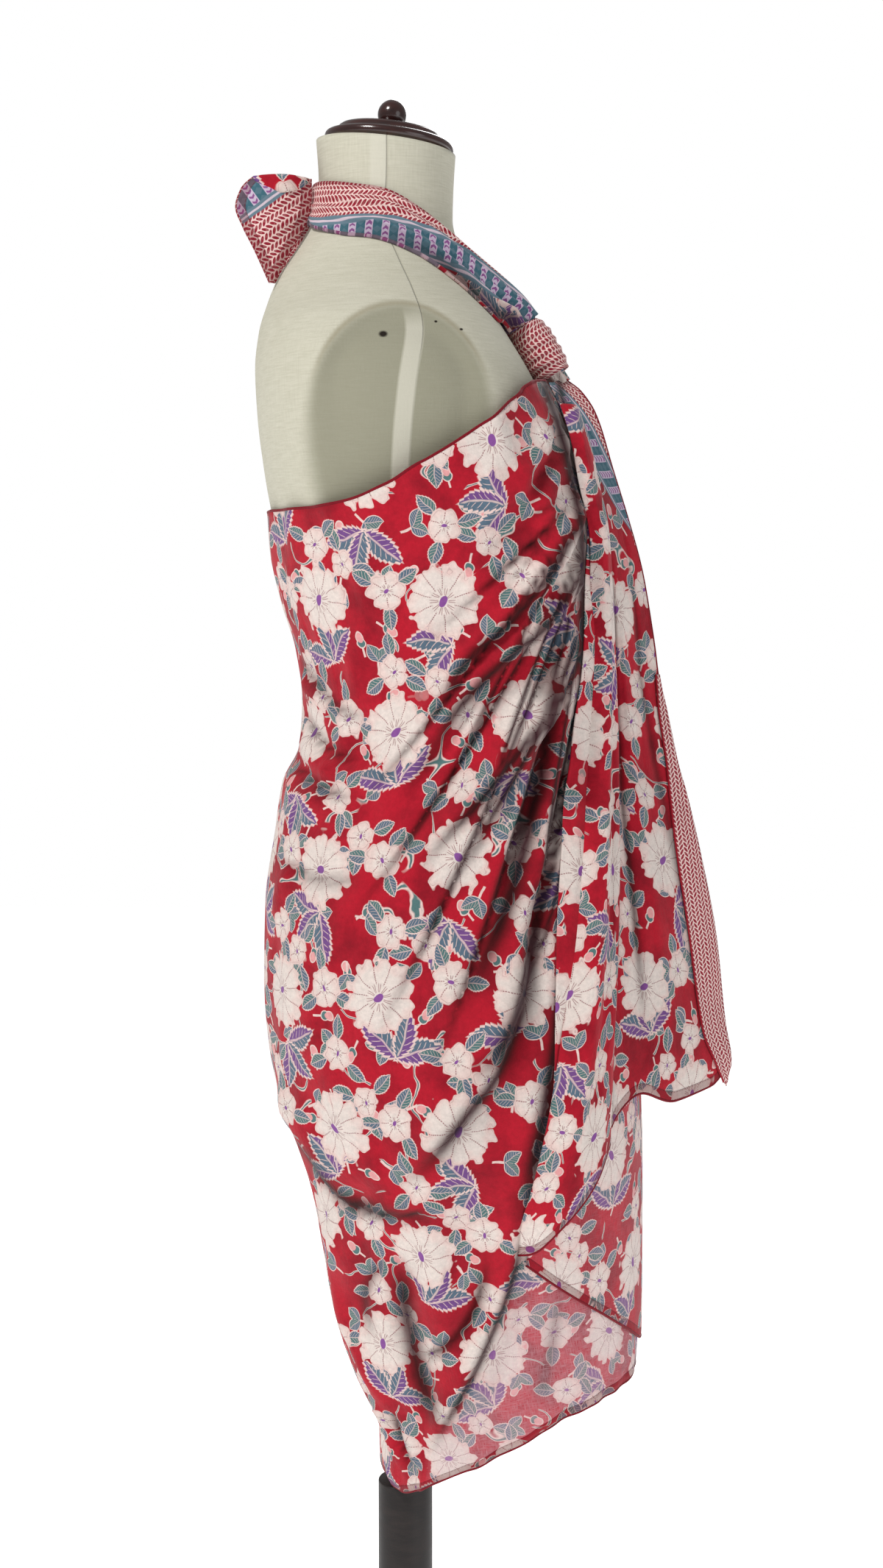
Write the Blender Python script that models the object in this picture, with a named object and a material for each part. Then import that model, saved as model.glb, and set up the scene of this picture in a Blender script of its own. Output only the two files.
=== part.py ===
# A cotton sarong tied as a halter on a limbless dress form, with the form's stand.
# Metres, +Z up, +X is the front of the form and +Y its left. The origin is under the middle of the base.

import math

import bpy
import numpy as np
from mathutils import Matrix, Vector

# Driving sizes
clothWall = 0.0016
strapWall = 0.0018
touchGap = 0.0003
restGap = 0.0008
baseRadius = 0.19
baseHeight = 0.022
poleRadius = 0.0216
poleTop = 0.414
rodRadius = 0.0125
rodFoot = 0.300
torsoFoot = 0.725
neckTop = 1.4587
capCentreX = -0.0112
capTilt = math.radians(6.2)
capHeight = 0.0150
ballRadius = 0.0110
armPlateDepth = 0.007
armPlateCentreX = 0.0
armPlateCentreZ = 1.228
armPlateHalfLength = 0.068
armPlateHalfHeight = 0.096
armPlateSideFrom = 0.09

# Numbers of columns and rows in each cloth sheet
wrapColumns = 57
wrapRows = 25
torsoSegments = 40
turnSegments = 30

# The torso, one row for each ring from the neck down; half is half the width
torsoRings = (
    ("z", "back", "front", "half", "power", "tilt"),
    (1.4587, -0.0662, 0.0396, 0.0525, 2.00, -0.108),
    (1.4300, -0.0645, 0.0380, 0.0515, 2.00, -0.080),
    (1.4080, -0.0665, 0.0375, 0.0550, 2.00, -0.050),
    (1.3930, -0.0745, 0.0400, 0.0620, 2.00, -0.020),
    (1.3780, -0.0845, 0.0455, 0.0740, 2.00, 0.0),
    (1.3600, -0.0960, 0.0540, 0.0900, 2.00, 0.0),
    (1.3400, -0.1040, 0.0650, 0.1130, 2.05, 0.0),
    (1.3170, -0.1100, 0.0790, 0.1420, 2.20, 0.0),
    (1.2900, -0.1125, 0.0950, 0.1590, 2.30, 0.0),
    (1.2550, -0.1110, 0.1130, 0.1640, 2.30, 0.0),
    (1.2150, -0.1065, 0.1290, 0.1600, 2.25, 0.0),
    (1.1800, -0.1005, 0.1360, 0.1530, 2.25, 0.0),
    (1.1300, -0.0900, 0.1270, 0.1400, 2.20, 0.0),
    (1.0800, -0.0760, 0.1140, 0.1270, 2.15, 0.0),
    (1.0300, -0.0700, 0.1050, 0.1180, 2.10, 0.0),
    (0.9900, -0.0725, 0.1050, 0.1190, 2.10, 0.0),
    (0.9400, -0.0840, 0.1110, 0.1330, 2.15, 0.0),
    (0.8800, -0.0970, 0.1190, 0.1540, 2.20, 0.0),
    (0.8100, -0.1010, 0.1240, 0.1670, 2.25, 0.0),
    (0.7600, -0.0950, 0.1210, 0.1660, 2.30, 0.0),
    (0.7330, -0.0860, 0.1150, 0.1600, 2.30, 0.0),
    (0.7250, -0.0780, 0.1080, 0.1520, 2.30, 0.0),
)

# The wrap's outline, one row for each height; near and far are half widths
wrapSections = (
    ("z", "back", "front", "near", "far", "power"),
    (1.300, -0.1150, 0.1010, 0.1640, 0.1640, 2.30),
    (1.286, -0.1150, 0.1070, 0.1660, 0.1660, 2.30),
    (1.255, -0.1140, 0.1230, 0.1690, 0.1690, 2.30),
    (1.215, -0.1100, 0.1390, 0.1660, 0.1660, 2.25),
    (1.183, -0.1045, 0.1500, 0.1600, 0.1600, 2.25),
    (1.156, -0.1030, 0.1540, 0.1550, 0.1540, 2.20),
    (1.117, -0.0950, 0.1580, 0.1480, 0.1460, 2.20),
    (1.078, -0.0835, 0.1600, 0.1420, 0.1380, 2.15),
    (1.041, -0.0790, 0.1620, 0.1390, 0.1330, 2.10),
    (1.005, -0.0815, 0.1640, 0.1400, 0.1330, 2.10),
    (0.977, -0.0945, 0.1660, 0.1440, 0.1380, 2.10),
    (0.939, -0.1005, 0.1690, 0.1540, 0.1480, 2.15),
    (0.886, -0.1080, 0.1730, 0.1690, 0.1620, 2.20),
    (0.826, -0.1094, 0.1780, 0.1790, 0.1730, 2.20),
    (0.781, -0.1068, 0.1810, 0.1810, 0.1740, 2.20),
    (0.722, -0.0950, 0.1830, 0.1760, 0.1690, 2.20),
    (0.701, -0.0870, 0.1840, 0.1700, 0.1640, 2.20),
    (0.668, -0.0755, 0.1845, 0.1590, 0.1550, 2.20),
    (0.617, -0.0664, 0.1850, 0.1440, 0.1400, 2.15),
    (0.555, -0.0561, 0.1854, 0.1260, 0.1220, 2.10),
    (0.512, -0.0422, 0.1835, 0.1130, 0.1090, 2.10),
    (0.490, -0.0323, 0.1800, 0.1040, 0.1000, 2.10),
    (0.465, -0.0215, 0.1700, 0.0930, 0.0900, 2.05),
    (0.432, -0.0200, 0.1500, 0.0760, 0.0740, 2.00),
    (0.410, -0.0080, 0.1300, 0.0640, 0.0620, 2.00),
    (0.395, 0.0040, 0.1150, 0.0560, 0.0540, 2.00),
)

# Heights of the wrap's upper edge and hems by angle from the front, in degrees, on either side
wrapEdges = (
    ("angle", "top", "nearHem", "farHem"),
    (0.0, 1.2780, 0.5150, 0.5200),
    (14.0, 1.2790, 0.5150, 0.5200),
    (35.0, 1.2740, 0.5120, 0.5180),
    (53.0, 1.2580, 0.5080, 0.5120),
    (68.0, 1.2406, 0.4980, 0.5020),
    (86.0, 1.2183, 0.4780, 0.4860),
    (101.0, 1.1980, 0.4590, 0.4700),
    (116.0, 1.1870, 0.4430, 0.4560),
    (132.0, 1.1830, 0.4260, 0.4440),
    (150.0, 1.1825, 0.4180, 0.4380),
    (165.0, 1.1830, 0.4230, 0.4360),
    (180.0, 1.1834, 0.4340, 0.4340),
)

# The wrap starts past the front, goes round the near side and ends under its own start
wrapStart = 12.0
wrapEnd = -368.0
underlapInset = 0.0042
underlapFrom = -292.0
underlapTo = -340.0

# The largest folds of the wrap: how far each stands out or in, its width,
# and its route in (x, z) seen from the side
foldColumns = ("kind", "height", "width", "route")
nearFolds = (
    foldColumns,
    (
        "ridge", 0.0070, 0.0150,
        ((0.128, 1.200), (0.112, 1.145), (0.074, 1.092), (0.030, 1.045), (-0.030, 0.970)),
    ),
    (
        "ridge", 0.0060, 0.0130,
        ((0.137, 1.130), (0.115, 1.055), (0.089, 1.022), (0.057, 0.983), (0.012, 0.931), (-0.050, 0.870)),
    ),
    (
        "ridge", 0.0070, 0.0150,
        ((0.124, 1.180), (0.112, 1.050), (0.082, 0.930), (0.045, 0.840), (0.000, 0.775)),
    ),
    ("trough", 0.0060, 0.0120, ((0.118, 1.130), (0.104, 1.010), (0.075, 0.900), (0.030, 0.810))),
    ("ridge", 0.0050, 0.0110, ((-0.100, 1.035), (-0.060, 1.000), (-0.020, 0.985))),
    ("trough", 0.0050, 0.0110, ((-0.098, 1.060), (-0.060, 1.030), (-0.015, 1.018))),
    ("ridge", 0.0070, 0.0140, ((-0.100, 0.760), (-0.074, 0.722), (-0.045, 0.702), (0.010, 0.706))),
    ("trough", 0.0080, 0.0130, ((-0.092, 0.728), (-0.064, 0.694), (-0.036, 0.676), (0.012, 0.680))),
    ("ridge", 0.0070, 0.0130, ((0.040, 0.770), (0.022, 0.680), (0.030, 0.590), (0.055, 0.500))),
    ("ridge", 0.0060, 0.0130, ((-0.045, 0.660), (-0.030, 0.570), (-0.005, 0.480))),
    ("trough", 0.0050, 0.0130, ((-0.004, 0.650), (0.008, 0.560), (0.030, 0.480))),
    ("trough", 0.0060, 0.0120, ((0.106, 0.950), (0.094, 0.868), (0.078, 0.815), (0.045, 0.770))),
)
farFolds = (
    foldColumns,
    ("ridge", 0.0060, 0.0150, ((0.112, 1.230), (0.066, 1.120), (0.005, 1.025), (-0.055, 0.965))),
    (
        "ridge", 0.0060, 0.0140,
        ((0.120, 1.200), (0.098, 1.070), (0.056, 0.960), (0.000, 0.880), (-0.060, 0.830)),
    ),
    ("trough", 0.0050, 0.0130, ((0.122, 1.150), (0.108, 1.020), (0.080, 0.900), (0.040, 0.820))),
    (
        "ridge", 0.0060, 0.0140,
        ((0.126, 1.050), (0.114, 0.930), (0.090, 0.800), (0.060, 0.690), (0.050, 0.580)),
    ),
    ("ridge", 0.0050, 0.0120, ((-0.090, 1.030), (-0.050, 1.000), (-0.010, 0.990))),
    ("trough", 0.0060, 0.0140, ((-0.080, 0.715), (-0.040, 0.690), (0.010, 0.690), (0.060, 0.710))),
    ("ridge", 0.0060, 0.0130, ((-0.030, 0.640), (-0.010, 0.550), (0.020, 0.470))),
)

# The side end that falls at the front, by height: where it leaves the wrap, and its front edge
cascadeSections = (
    ("z", "rootAngle", "bendAngle", "edgeX", "edgeY", "stripX"),
    (1.285, 10.0, 5.0, 0.1240, 0.0080, 0.1225),
    (1.276, 14.0, 8.0, 0.1350, 0.0120, 0.1335),
    (1.258, 18.0, 11.0, 0.1465, 0.0160, 0.1450),
    (1.217, 26.0, 16.0, 0.1595, 0.0190, 0.1560),
    (1.177, 32.0, 20.0, 0.1720, 0.0210, 0.1690),
    (1.136, 38.0, 24.0, 0.1830, 0.0220, 0.1800),
    (1.087, 43.0, 28.0, 0.1915, 0.0230, 0.1890),
    (1.055, 46.0, 30.0, 0.1960, 0.0230, 0.1935),
    (1.033, 48.0, 31.0, 0.2010, 0.0230, 0.1960),
    (0.992, 51.0, 33.0, 0.2100, 0.0230, 0.2030),
    (0.967, 53.0, 35.0, 0.2175, 0.0230, 0.2070),
    (0.917, 56.0, 37.0, 0.2290, 0.0230, 0.2140),
    (0.864, 59.0, 39.0, 0.2400, 0.0230, 0.2230),
    (0.788, 62.0, 41.0, 0.2490, 0.0230, 0.2340),
    (0.760, 63.0, 42.0, 0.2535, 0.0230, 0.2440),
    (0.735, 63.0, 42.0, 0.2520, 0.0230, 0.2500),
    (0.700, 63.0, 42.0, 0.2500, 0.0230, 0.2500),
)
# Height of the lower hem from the hidden root to the front corner
cascadeHem = (
    ("share", "near", "far"),
    (0.00, 0.7200, 0.8000),
    (0.30, 0.7300, 0.7900),
    (0.45, 0.7410, 0.7860),
    (0.62, 0.7520, 0.7950),
    (0.80, 0.7400, 0.7800),
    (0.94, 0.7430, 0.7860),
    (1.00, 0.7570, 0.8000),
)
cascadeTop = 1.2790
cascadeTopRise = 0.0060
cascadeColumns = 13
cascadeRows = 19
farEdgeDrawBack = 0.012
fluteDepth = 0.0050
onWrapShare = 0.35

# The turned border on the near fall: its top, its width as a share of the fall, and its foot
stripTop = 1.0600
stripShareScale = 0.55
stripFoot = (0.7440, 0.7400, 0.7440, 0.7560)
stripRows = 15

# The broad inner fold, by height: its two sides seen from the near side and how far it stands out
frontFoldSections = (
    ("z", "left", "right", "bulge"),
    (1.270, 0.1060, 0.1160, 0.0030),
    (1.215, 0.1180, 0.1330, 0.0040),
    (1.150, 0.1240, 0.1430, 0.0050),
    (1.060, 0.1290, 0.1490, 0.0060),
    (0.960, 0.1280, 0.1510, 0.0080),
    (0.900, 0.1240, 0.1505, 0.0095),
    (0.826, 0.1150, 0.1485, 0.0110),
    (0.753, 0.1040, 0.1460, 0.0120),
    (0.700, 0.0930, 0.1450, 0.0110),
    (0.655, 0.0835, 0.1450, 0.0090),
    (0.640, 0.0835, 0.1450, 0.0080),
)
frontFoldHem = (
    ("share", "z"),
    (0.00, 0.6450),
    (0.10, 0.6470),
    (0.45, 0.6740),
    (0.72, 0.7020),
    (0.90, 0.7200),
    (1.00, 0.7230),
)
frontFoldTop = 1.2600
frontFoldTopLift = 0.0025
frontFoldColumns = 9
frontFoldRows = 22

# The stretch folded back under the front fold: its hem from the front edge, and its hidden side by height
flapHem = (
    ("share", "z"),
    (0.00, 0.5400),
    (0.20, 0.5440),
    (0.45, 0.5600),
    (0.65, 0.5790),
    (0.85, 0.6000),
    (1.00, 0.6150),
)
flapSide = (
    ("z", "x"),
    (0.600, 0.0870),
    (0.655, 0.0920),
    (0.700, 0.1020),
    (0.753, 0.1120),
    (0.800, 0.1190),
)
flapTop = 0.7950
flapFrontAngle = 6.0
flapColumns = 13
flapRows = 8

# How far the outer face of each stretch stands off the wrap's outer face
flapOffset = 0.0028
cascadeOffset = 0.0054
farCascadeOffset = 0.0024
frontFoldOffset = 0.0086

# The strap from the chest to the nape: its upper and lower edges, from the ring round to the back
strapStations = (
    ("upX", "upY", "upZ", "lowX", "lowY", "lowZ", "bulge"),
    (0.1010, 0.0030, 1.3355, 0.0810, 0.0250, 1.3190, 0.0050),
    (0.0880, 0.0090, 1.3480, 0.0750, 0.0370, 1.3250, 0.0070),
    (0.0655, 0.0220, 1.3670, 0.0640, 0.0500, 1.3260, 0.0060),
    (0.0366, 0.0400, 1.3890, 0.0450, 0.0650, 1.3460, 0.0050),
    (0.0155, 0.0510, 1.4040, 0.0180, 0.0740, 1.3660, 0.0040),
    (-0.0105, 0.0560, 1.4180, -0.0150, 0.0720, 1.3805, 0.0035),
    (-0.0400, 0.0480, 1.4240, -0.0460, 0.0620, 1.3860, 0.0030),
    (-0.0590, 0.0310, 1.4280, -0.0660, 0.0400, 1.3940, 0.0022),
    (-0.0670, 0.0160, 1.4290, -0.0710, 0.0180, 1.4010, 0.0016),
    (-0.0690, 0.0015, 1.4290, -0.0730, 0.0015, 1.4030, 0.0012),
)
strapColumns = 22
strapRows = 9
strapCentreX = -0.013
strapOutRise = 0.025

# The ring of border cloth round the gathered chest
ringCentre = Vector((0.1035, 0.0, 1.3065))
ringAxis = Vector((0.55, 0.0, -0.835)).normalized()
ringLength = 0.044
ringHalfWidth = 0.0245
ringHalfDepth = 0.0158
ringColumns = 24
ringRows = 8
gatherFolds = 7
gatherRidge = 0.0022
gatherRows = 7
gatherStart = 0.05
gatherEnd = 1.06

# The tie behind the neck and its loose corners
knotCentre = Vector((-0.0842, 0.0, 1.4170))
knotRadii = Vector((0.0115, 0.0270, 0.0170))
tailSections = (
    ("z", "backX", "neckX", "backY", "neckY"),
    (1.4350, -0.1030, -0.0700, 0.0330, 0.0284),
    (1.4310, -0.1110, -0.0690, 0.0350, 0.0284),
    (1.4220, -0.1200, -0.0690, 0.0370, 0.0284),
    (1.4090, -0.1240, -0.0700, 0.0380, 0.0284),
    (1.3950, -0.1190, -0.0750, 0.0380, 0.0294),
    (1.3780, -0.1105, -0.0840, 0.0380, 0.0320),
    (1.3540, -0.1000, -0.0960, 0.0370, 0.0350),
)
tailColumns = 9
tailRows = 13
tailRoot = (-0.0690, 0.0284, 1.4180)
tailBelly = 0.006
farTailShrink = 0.80
farTailSeat = 0.0009

# Colours
clothRed = (0.52, 0.02, 0.04, 1.0)
borderPink = (0.80, 0.48, 0.46, 1.0)
borderTeal = (0.14, 0.24, 0.28, 1.0)
linen = (0.66, 0.64, 0.54, 1.0)
darkWood = (0.025, 0.010, 0.009, 1.0)
blackPole = (0.014, 0.010, 0.009, 1.0)


def smoothStep(low, high, value):
    """0 below low, 1 above high, with a soft rise between them."""
    share = np.clip((np.asarray(value, float) - low) / (high - low), 0.0, 1.0)
    return share * share * (3.0 - 2.0 * share)


def readTable(table, at):
    """Every column of a table at the given values of its first column, on a curve that doesn't overshoot."""
    names = table[0]
    rows = np.array(table[1:], float)
    order = np.argsort(rows[:, 0])
    rows = rows[order]
    keys = rows[:, 0]
    at = np.clip(np.asarray(at, float), keys[0], keys[-1])
    spot = np.clip(np.searchsorted(keys, at, side="right") - 1, 0, len(keys) - 2)
    steps = np.diff(keys)
    share = (at - keys[spot]) / steps[spot]
    found = {}
    for index, name in enumerate(names):
        values = rows[:, index]
        slopes = np.diff(values) / steps
        ends = np.zeros(len(keys))
        product = slopes[:-1] * slopes[1:]
        steady = product > 0
        ends[1:-1][steady] = 2 * product[steady] / (slopes[:-1] + slopes[1:])[steady]
        ends[0] = slopes[0]
        ends[-1] = slopes[-1]
        rise = steps[spot]
        square = share * share
        cube = square * share
        found[name] = (
            (2 * cube - 3 * square + 1) * values[spot]
            + (cube - 2 * square + share) * rise * ends[spot]
            + (3 * square - 2 * cube) * values[spot + 1]
            + (cube - square) * rise * ends[spot + 1]
        )
    return found


def roundPower(value, power):
    """A signed power, for the corners of a superellipse."""
    return np.sign(value) * np.abs(value) ** (2.0 / power)


def pushOffTorso(points, clearance):
    """Points moved out, level, until they stand clear of the torso."""
    ring = readTable(torsoRings, points[..., 2])
    centre = (ring["front"] + ring["back"]) / 2
    reach = (ring["front"] - ring["back"]) / 2 + clearance
    half = ring["half"] + clearance
    power = ring["power"]
    away = np.abs((points[..., 0] - centre) / reach) ** power + np.abs(points[..., 1] / half) ** power
    away = np.maximum(away, 1e-9)
    inside = (away < 1.0) & (points[..., 2] > torsoFoot - 0.004)
    grow = np.where(inside, away ** (-1.0 / power), 1.0)
    moved = points.copy()
    moved[..., 0] = centre + (points[..., 0] - centre) * grow
    moved[..., 1] = points[..., 1] * grow
    return moved


def foldRise(folds, x, z):
    """Sum of the folds at points seen from the side."""
    total = np.zeros(np.shape(x))
    for kind, height, width, route in folds[1:]:
        nearest = np.full(np.shape(x), 9.0)
        along = np.zeros(np.shape(x))
        count = len(route) - 1
        for index in range(count):
            start = np.array(route[index])
            run = np.array(route[index + 1]) - start
            share = ((x - start[0]) * run[0] + (z - start[1]) * run[1]) / (run @ run)
            share = np.clip(share, 0.0, 1.0)
            away = np.hypot(x - start[0] - share * run[0], z - start[1] - share * run[1])
            closer = away < nearest
            nearest = np.where(closer, away, nearest)
            along = np.where(closer, (index + share) / count, along)
        taper = smoothStep(0.0, 0.22, along) * (1.0 - 0.8 * smoothStep(0.72, 1.0, along))
        sign = 1.0 if kind == "ridge" else -1.0
        total += sign * height * taper * np.exp(-((nearest / width) ** 2))
    return total


def wrapPoints(angle, z, offset=0.0):
    """The wrap's outer face at an angle from the front (negative on the near side) and a height."""
    angle = np.asarray(angle, float)
    z = np.asarray(z, float)
    angle, z = np.broadcast_arrays(angle, z)
    section = readTable(wrapSections, z)
    turn = np.radians(angle)
    forward = np.cos(turn)
    side = np.sin(turn)
    centre = (section["front"] + section["back"]) / 2
    reach = (section["front"] - section["back"]) / 2
    half = np.where(side < 0, section["near"], section["far"])
    power = section["power"]
    x = centre + reach * roundPower(forward, power)
    y = half * roundPower(side, power)
    outX = np.sign(forward) * np.abs(forward) ** (2 - 2 / power) / reach
    outY = np.sign(side) * np.abs(side) ** (2 - 2 / power) / half
    length = np.hypot(outX, outY)
    outX = outX / length
    outY = outY / length
    rise = np.where(side < 0, foldRise(nearFolds, x, z), foldRise(farFolds, x, z))
    rise = rise * smoothStep(0.10, 0.45, np.abs(side))
    out = rise + offset
    points = np.stack([x + outX * out, y + outY * out, z], axis=-1)
    return pushOffTorso(points, clothWall + restGap + np.maximum(offset, 0.0))


def angleAt(x, z):
    """The angle, on the near side, at which the wrap has this x."""
    section = readTable(wrapSections, z)
    centre = (section["front"] + section["back"]) / 2
    reach = (section["front"] - section["back"]) / 2
    share = np.clip((x - centre) / reach, -1.0, 1.0)
    cosine = np.sign(share) * np.abs(share) ** (section["power"] / 2)
    return -np.degrees(np.arccos(np.clip(cosine, -1.0, 1.0)))


def makeMaterial(name, colour, roughness, sheen=0.0):
    material = bpy.data.materials.new(name)
    material.use_nodes = True
    shader = material.node_tree.nodes["Principled BSDF"]
    shader.inputs["Base Color"].default_value = colour
    shader.inputs["Roughness"].default_value = roughness
    shader.inputs["Metallic"].default_value = 0.0
    shader.inputs["Sheen Weight"].default_value = sheen
    return material


def addObject(name, vertices, faces, material):
    mesh = bpy.data.meshes.new(name)
    mesh.from_pydata([tuple(map(float, vertex)) for vertex in vertices], [], faces)
    mesh.materials.append(material)
    mesh.shade_smooth()
    mesh.update()
    part = bpy.data.objects.new(name, mesh)
    bpy.context.scene.collection.objects.link(part)
    return part


def addSheet(name, points, wall, material, closed=False, flip=False):
    """A sheet through a grid of outer points, given its wall inwards by Solidify."""
    rows, columns = points.shape[:2]
    faces = []
    across = columns if closed else columns - 1
    for row in range(rows - 1):
        for column in range(across):
            following = (column + 1) % columns
            corners = (
                row * columns + column,
                row * columns + following,
                (row + 1) * columns + following,
                (row + 1) * columns + column,
            )
            faces.append(corners[::-1] if flip else corners)
    sheet = addObject(name, points.reshape(-1, 3), faces, material)
    solidify = sheet.modifiers.new("Wall", "SOLIDIFY")
    solidify.thickness = wall
    solidify.offset = -1.0
    solidify.use_rim = True
    return sheet


def addLoft(name, rings, material, sharp=35.0):
    """A closed solid through rings of points, capped at both ends."""
    count = len(rings[0])
    vertices = [point for ring in rings for point in ring]
    faces = [tuple(range(count))]
    for ring in range(len(rings) - 1):
        for index in range(count):
            following = (index + 1) % count
            faces.append(
                (
                    ring * count + index,
                    (ring + 1) * count + index,
                    (ring + 1) * count + following,
                    ring * count + following,
                )
            )
    last = (len(rings) - 1) * count
    faces.append(tuple(last + index for index in reversed(range(count))))
    solid = addObject(name, vertices, faces, material)
    solid.data.set_sharp_from_angle(angle=math.radians(sharp))
    return solid


def turned(name, profile, material, place=Matrix.Identity(4), segments=turnSegments):
    """A turned solid from (radius, height) pairs, from its top down."""
    rings = []
    for radius, height in profile:
        ring = []
        for index in range(segments):
            turn = 2 * math.pi * index / segments
            ring.append(place @ Vector((radius * math.cos(turn), radius * math.sin(turn), height)))
        rings.append(ring)
    return addLoft(name, rings, material)


def makeTorso(material):
    rings = []
    for row in torsoRings[1:]:
        ring = dict(zip(torsoRings[0], row))
        centre = (ring["front"] + ring["back"]) / 2
        reach = (ring["front"] - ring["back"]) / 2
        points = []
        for index in range(torsoSegments):
            turn = 2 * math.pi * index / torsoSegments
            x = centre + reach * float(roundPower(math.cos(turn), ring["power"]))
            y = ring["half"] * float(roundPower(math.sin(turn), ring["power"]))
            # The arm plates are shallow dishes in the two sides
            alongPlate = (x - armPlateCentreX) / armPlateHalfLength
            upPlate = (ring["z"] - armPlateCentreZ) / armPlateHalfHeight
            dish = float(smoothStep(1.1, 0.5, math.hypot(alongPlate, upPlate)))
            if abs(y) < armPlateSideFrom:
                dish = 0.0
            y -= math.copysign(armPlateDepth * dish, y)
            z = ring["z"] + ring["tilt"] * (x - centre)
            points.append((x, y, z))
        rings.append(points)
    return addLoft("torso", rings, material, 60.0)


def makeNeckCap(wood):
    place = Matrix.Translation((capCentreX, 0.0, neckTop + touchGap)) @ Matrix.Rotation(capTilt, 4, "Y")
    profile = (
        (0.0200, capHeight),
        (0.0330, capHeight - 0.0008),
        (0.0385, capHeight - 0.0022),
        (0.0402, capHeight - 0.0040),
        (0.0412, 0.0095),
        (0.0450, 0.0084),
        (0.0482, 0.0070),
        (0.0493, 0.0048),
        (0.0488, 0.0022),
        (0.0475, 0.0005),
        (0.0465, 0.0000),
    )
    turned("neck_cap", profile, wood, place)
    ball = []
    seat = capHeight + touchGap
    middle = seat + ballRadius * 0.93
    for step in range(1, 11):
        turn = math.pi * step / 12
        ball.append((ballRadius * math.sin(turn), middle + ballRadius * math.cos(turn)))
    ball.append((0.0056, seat))
    turned("finial", ball, wood, place, 20)


def makeStand(metal):
    rod = ((rodRadius, torsoFoot - touchGap), (rodRadius, rodFoot))
    turned("stand_rod", rod, metal, segments=24)
    bore = rodRadius + touchGap
    # The tube's outline runs up from the bore's floor, over the lip and down the outside
    pole = (
        (bore, rodFoot - touchGap),
        (bore, poleTop - 0.0010),
        (bore + 0.0010, poleTop),
        (poleRadius - 0.0012, poleTop),
        (poleRadius, poleTop - 0.0012),
        (poleRadius, baseHeight + touchGap),
    )
    turned("pole", pole, metal)
    foot = (
        (0.0300, baseHeight),
        (baseRadius - 0.030, baseHeight - 0.003),
        (baseRadius - 0.008, baseHeight - 0.007),
        (baseRadius - 0.001, baseHeight - 0.013),
        (baseRadius, 0.004),
        (baseRadius - 0.002, 0.0),
    )
    turned("base", foot, metal, segments=48)


def foldedAngle(angle):
    """The angle from the front as 0 to 180, and which side it is on."""
    wrapped = (np.asarray(angle) + 180.0) % 360.0 - 180.0
    return np.abs(wrapped), wrapped <= 0


def makeWrap(cloth):
    angles = np.linspace(wrapStart, wrapEnd, wrapColumns)
    folded, near = foldedAngle(angles)
    edges = readTable(wrapEdges, folded)
    hem = np.where(near, edges["nearHem"], edges["farHem"])
    share = np.linspace(0.0, 1.0, wrapRows)[:, None]
    z = edges["top"] + (hem - edges["top"]) * share
    inset = -underlapInset * smoothStep(underlapFrom, underlapTo, angles)
    points = wrapPoints(angles[None, :], z, inset[None, :])
    addSheet("wrap", points, clothWall, cloth)


def cascadePoints(share, z, near):
    """The outer face of a falling side end, share 0 at its hidden root and 1 at its front edge."""
    share, z = np.broadcast_arrays(np.asarray(share, float), np.asarray(z, float))
    section = readTable(cascadeSections, z)
    side = -1.0 if near else 1.0
    standing = cascadeOffset if near else farCascadeOffset
    root = wrapPoints(side * section["rootAngle"], z, standing)
    bend = wrapPoints(side * section["bendAngle"], z, standing)
    draw = 0.0 if near else farEdgeDrawBack
    edgeX = section["edgeX"] - draw * smoothStep(1.27, 1.10, z)
    edge = np.stack([edgeX, side * section["edgeY"], z], axis=-1)
    # One smooth curve on plan: along the wrap to the bend, then forward to the front edge
    first = np.clip(share / onWrapShare, 0.0, 1.0)
    angle = section["rootAngle"] + (section["bendAngle"] - section["rootAngle"]) * first
    onWrap = wrapPoints(side * angle, z, standing)
    second = np.clip((share - onWrapShare) / (1.0 - onWrapShare), 0.0, 1.0)[..., None]
    lead = bend + (bend - root) * onWrapShare
    free = (1 - second) ** 2 * bend + 2 * second * (1 - second) * lead + second**2 * edge
    points = np.where(share[..., None] < onWrapShare, onWrap, free)
    drop = smoothStep(1.24, 1.00, z)
    flute = fluteDepth * drop * np.sin(second[..., 0] * math.pi * 2.0) * (1 - second[..., 0])
    points[..., 1] -= side * flute
    return points


def standOff(share, z, near, offset):
    """Points of the falling end, moved out square to its face."""
    share, z = np.broadcast_arrays(np.asarray(share, float), np.asarray(z, float))
    step = 0.01
    across = cascadePoints(np.minimum(share + step, 1.0), z, near) - cascadePoints(share - step, z, near)
    down = cascadePoints(share, z - step, near) - cascadePoints(share, z + step, near)
    out = np.cross(down, across)
    out = out / np.linalg.norm(out, axis=-1, keepdims=True)
    side = -1.0 if near else 1.0
    out = out * np.sign(out[..., 1:2]) * side
    return cascadePoints(share, z, near) + out * offset


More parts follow.
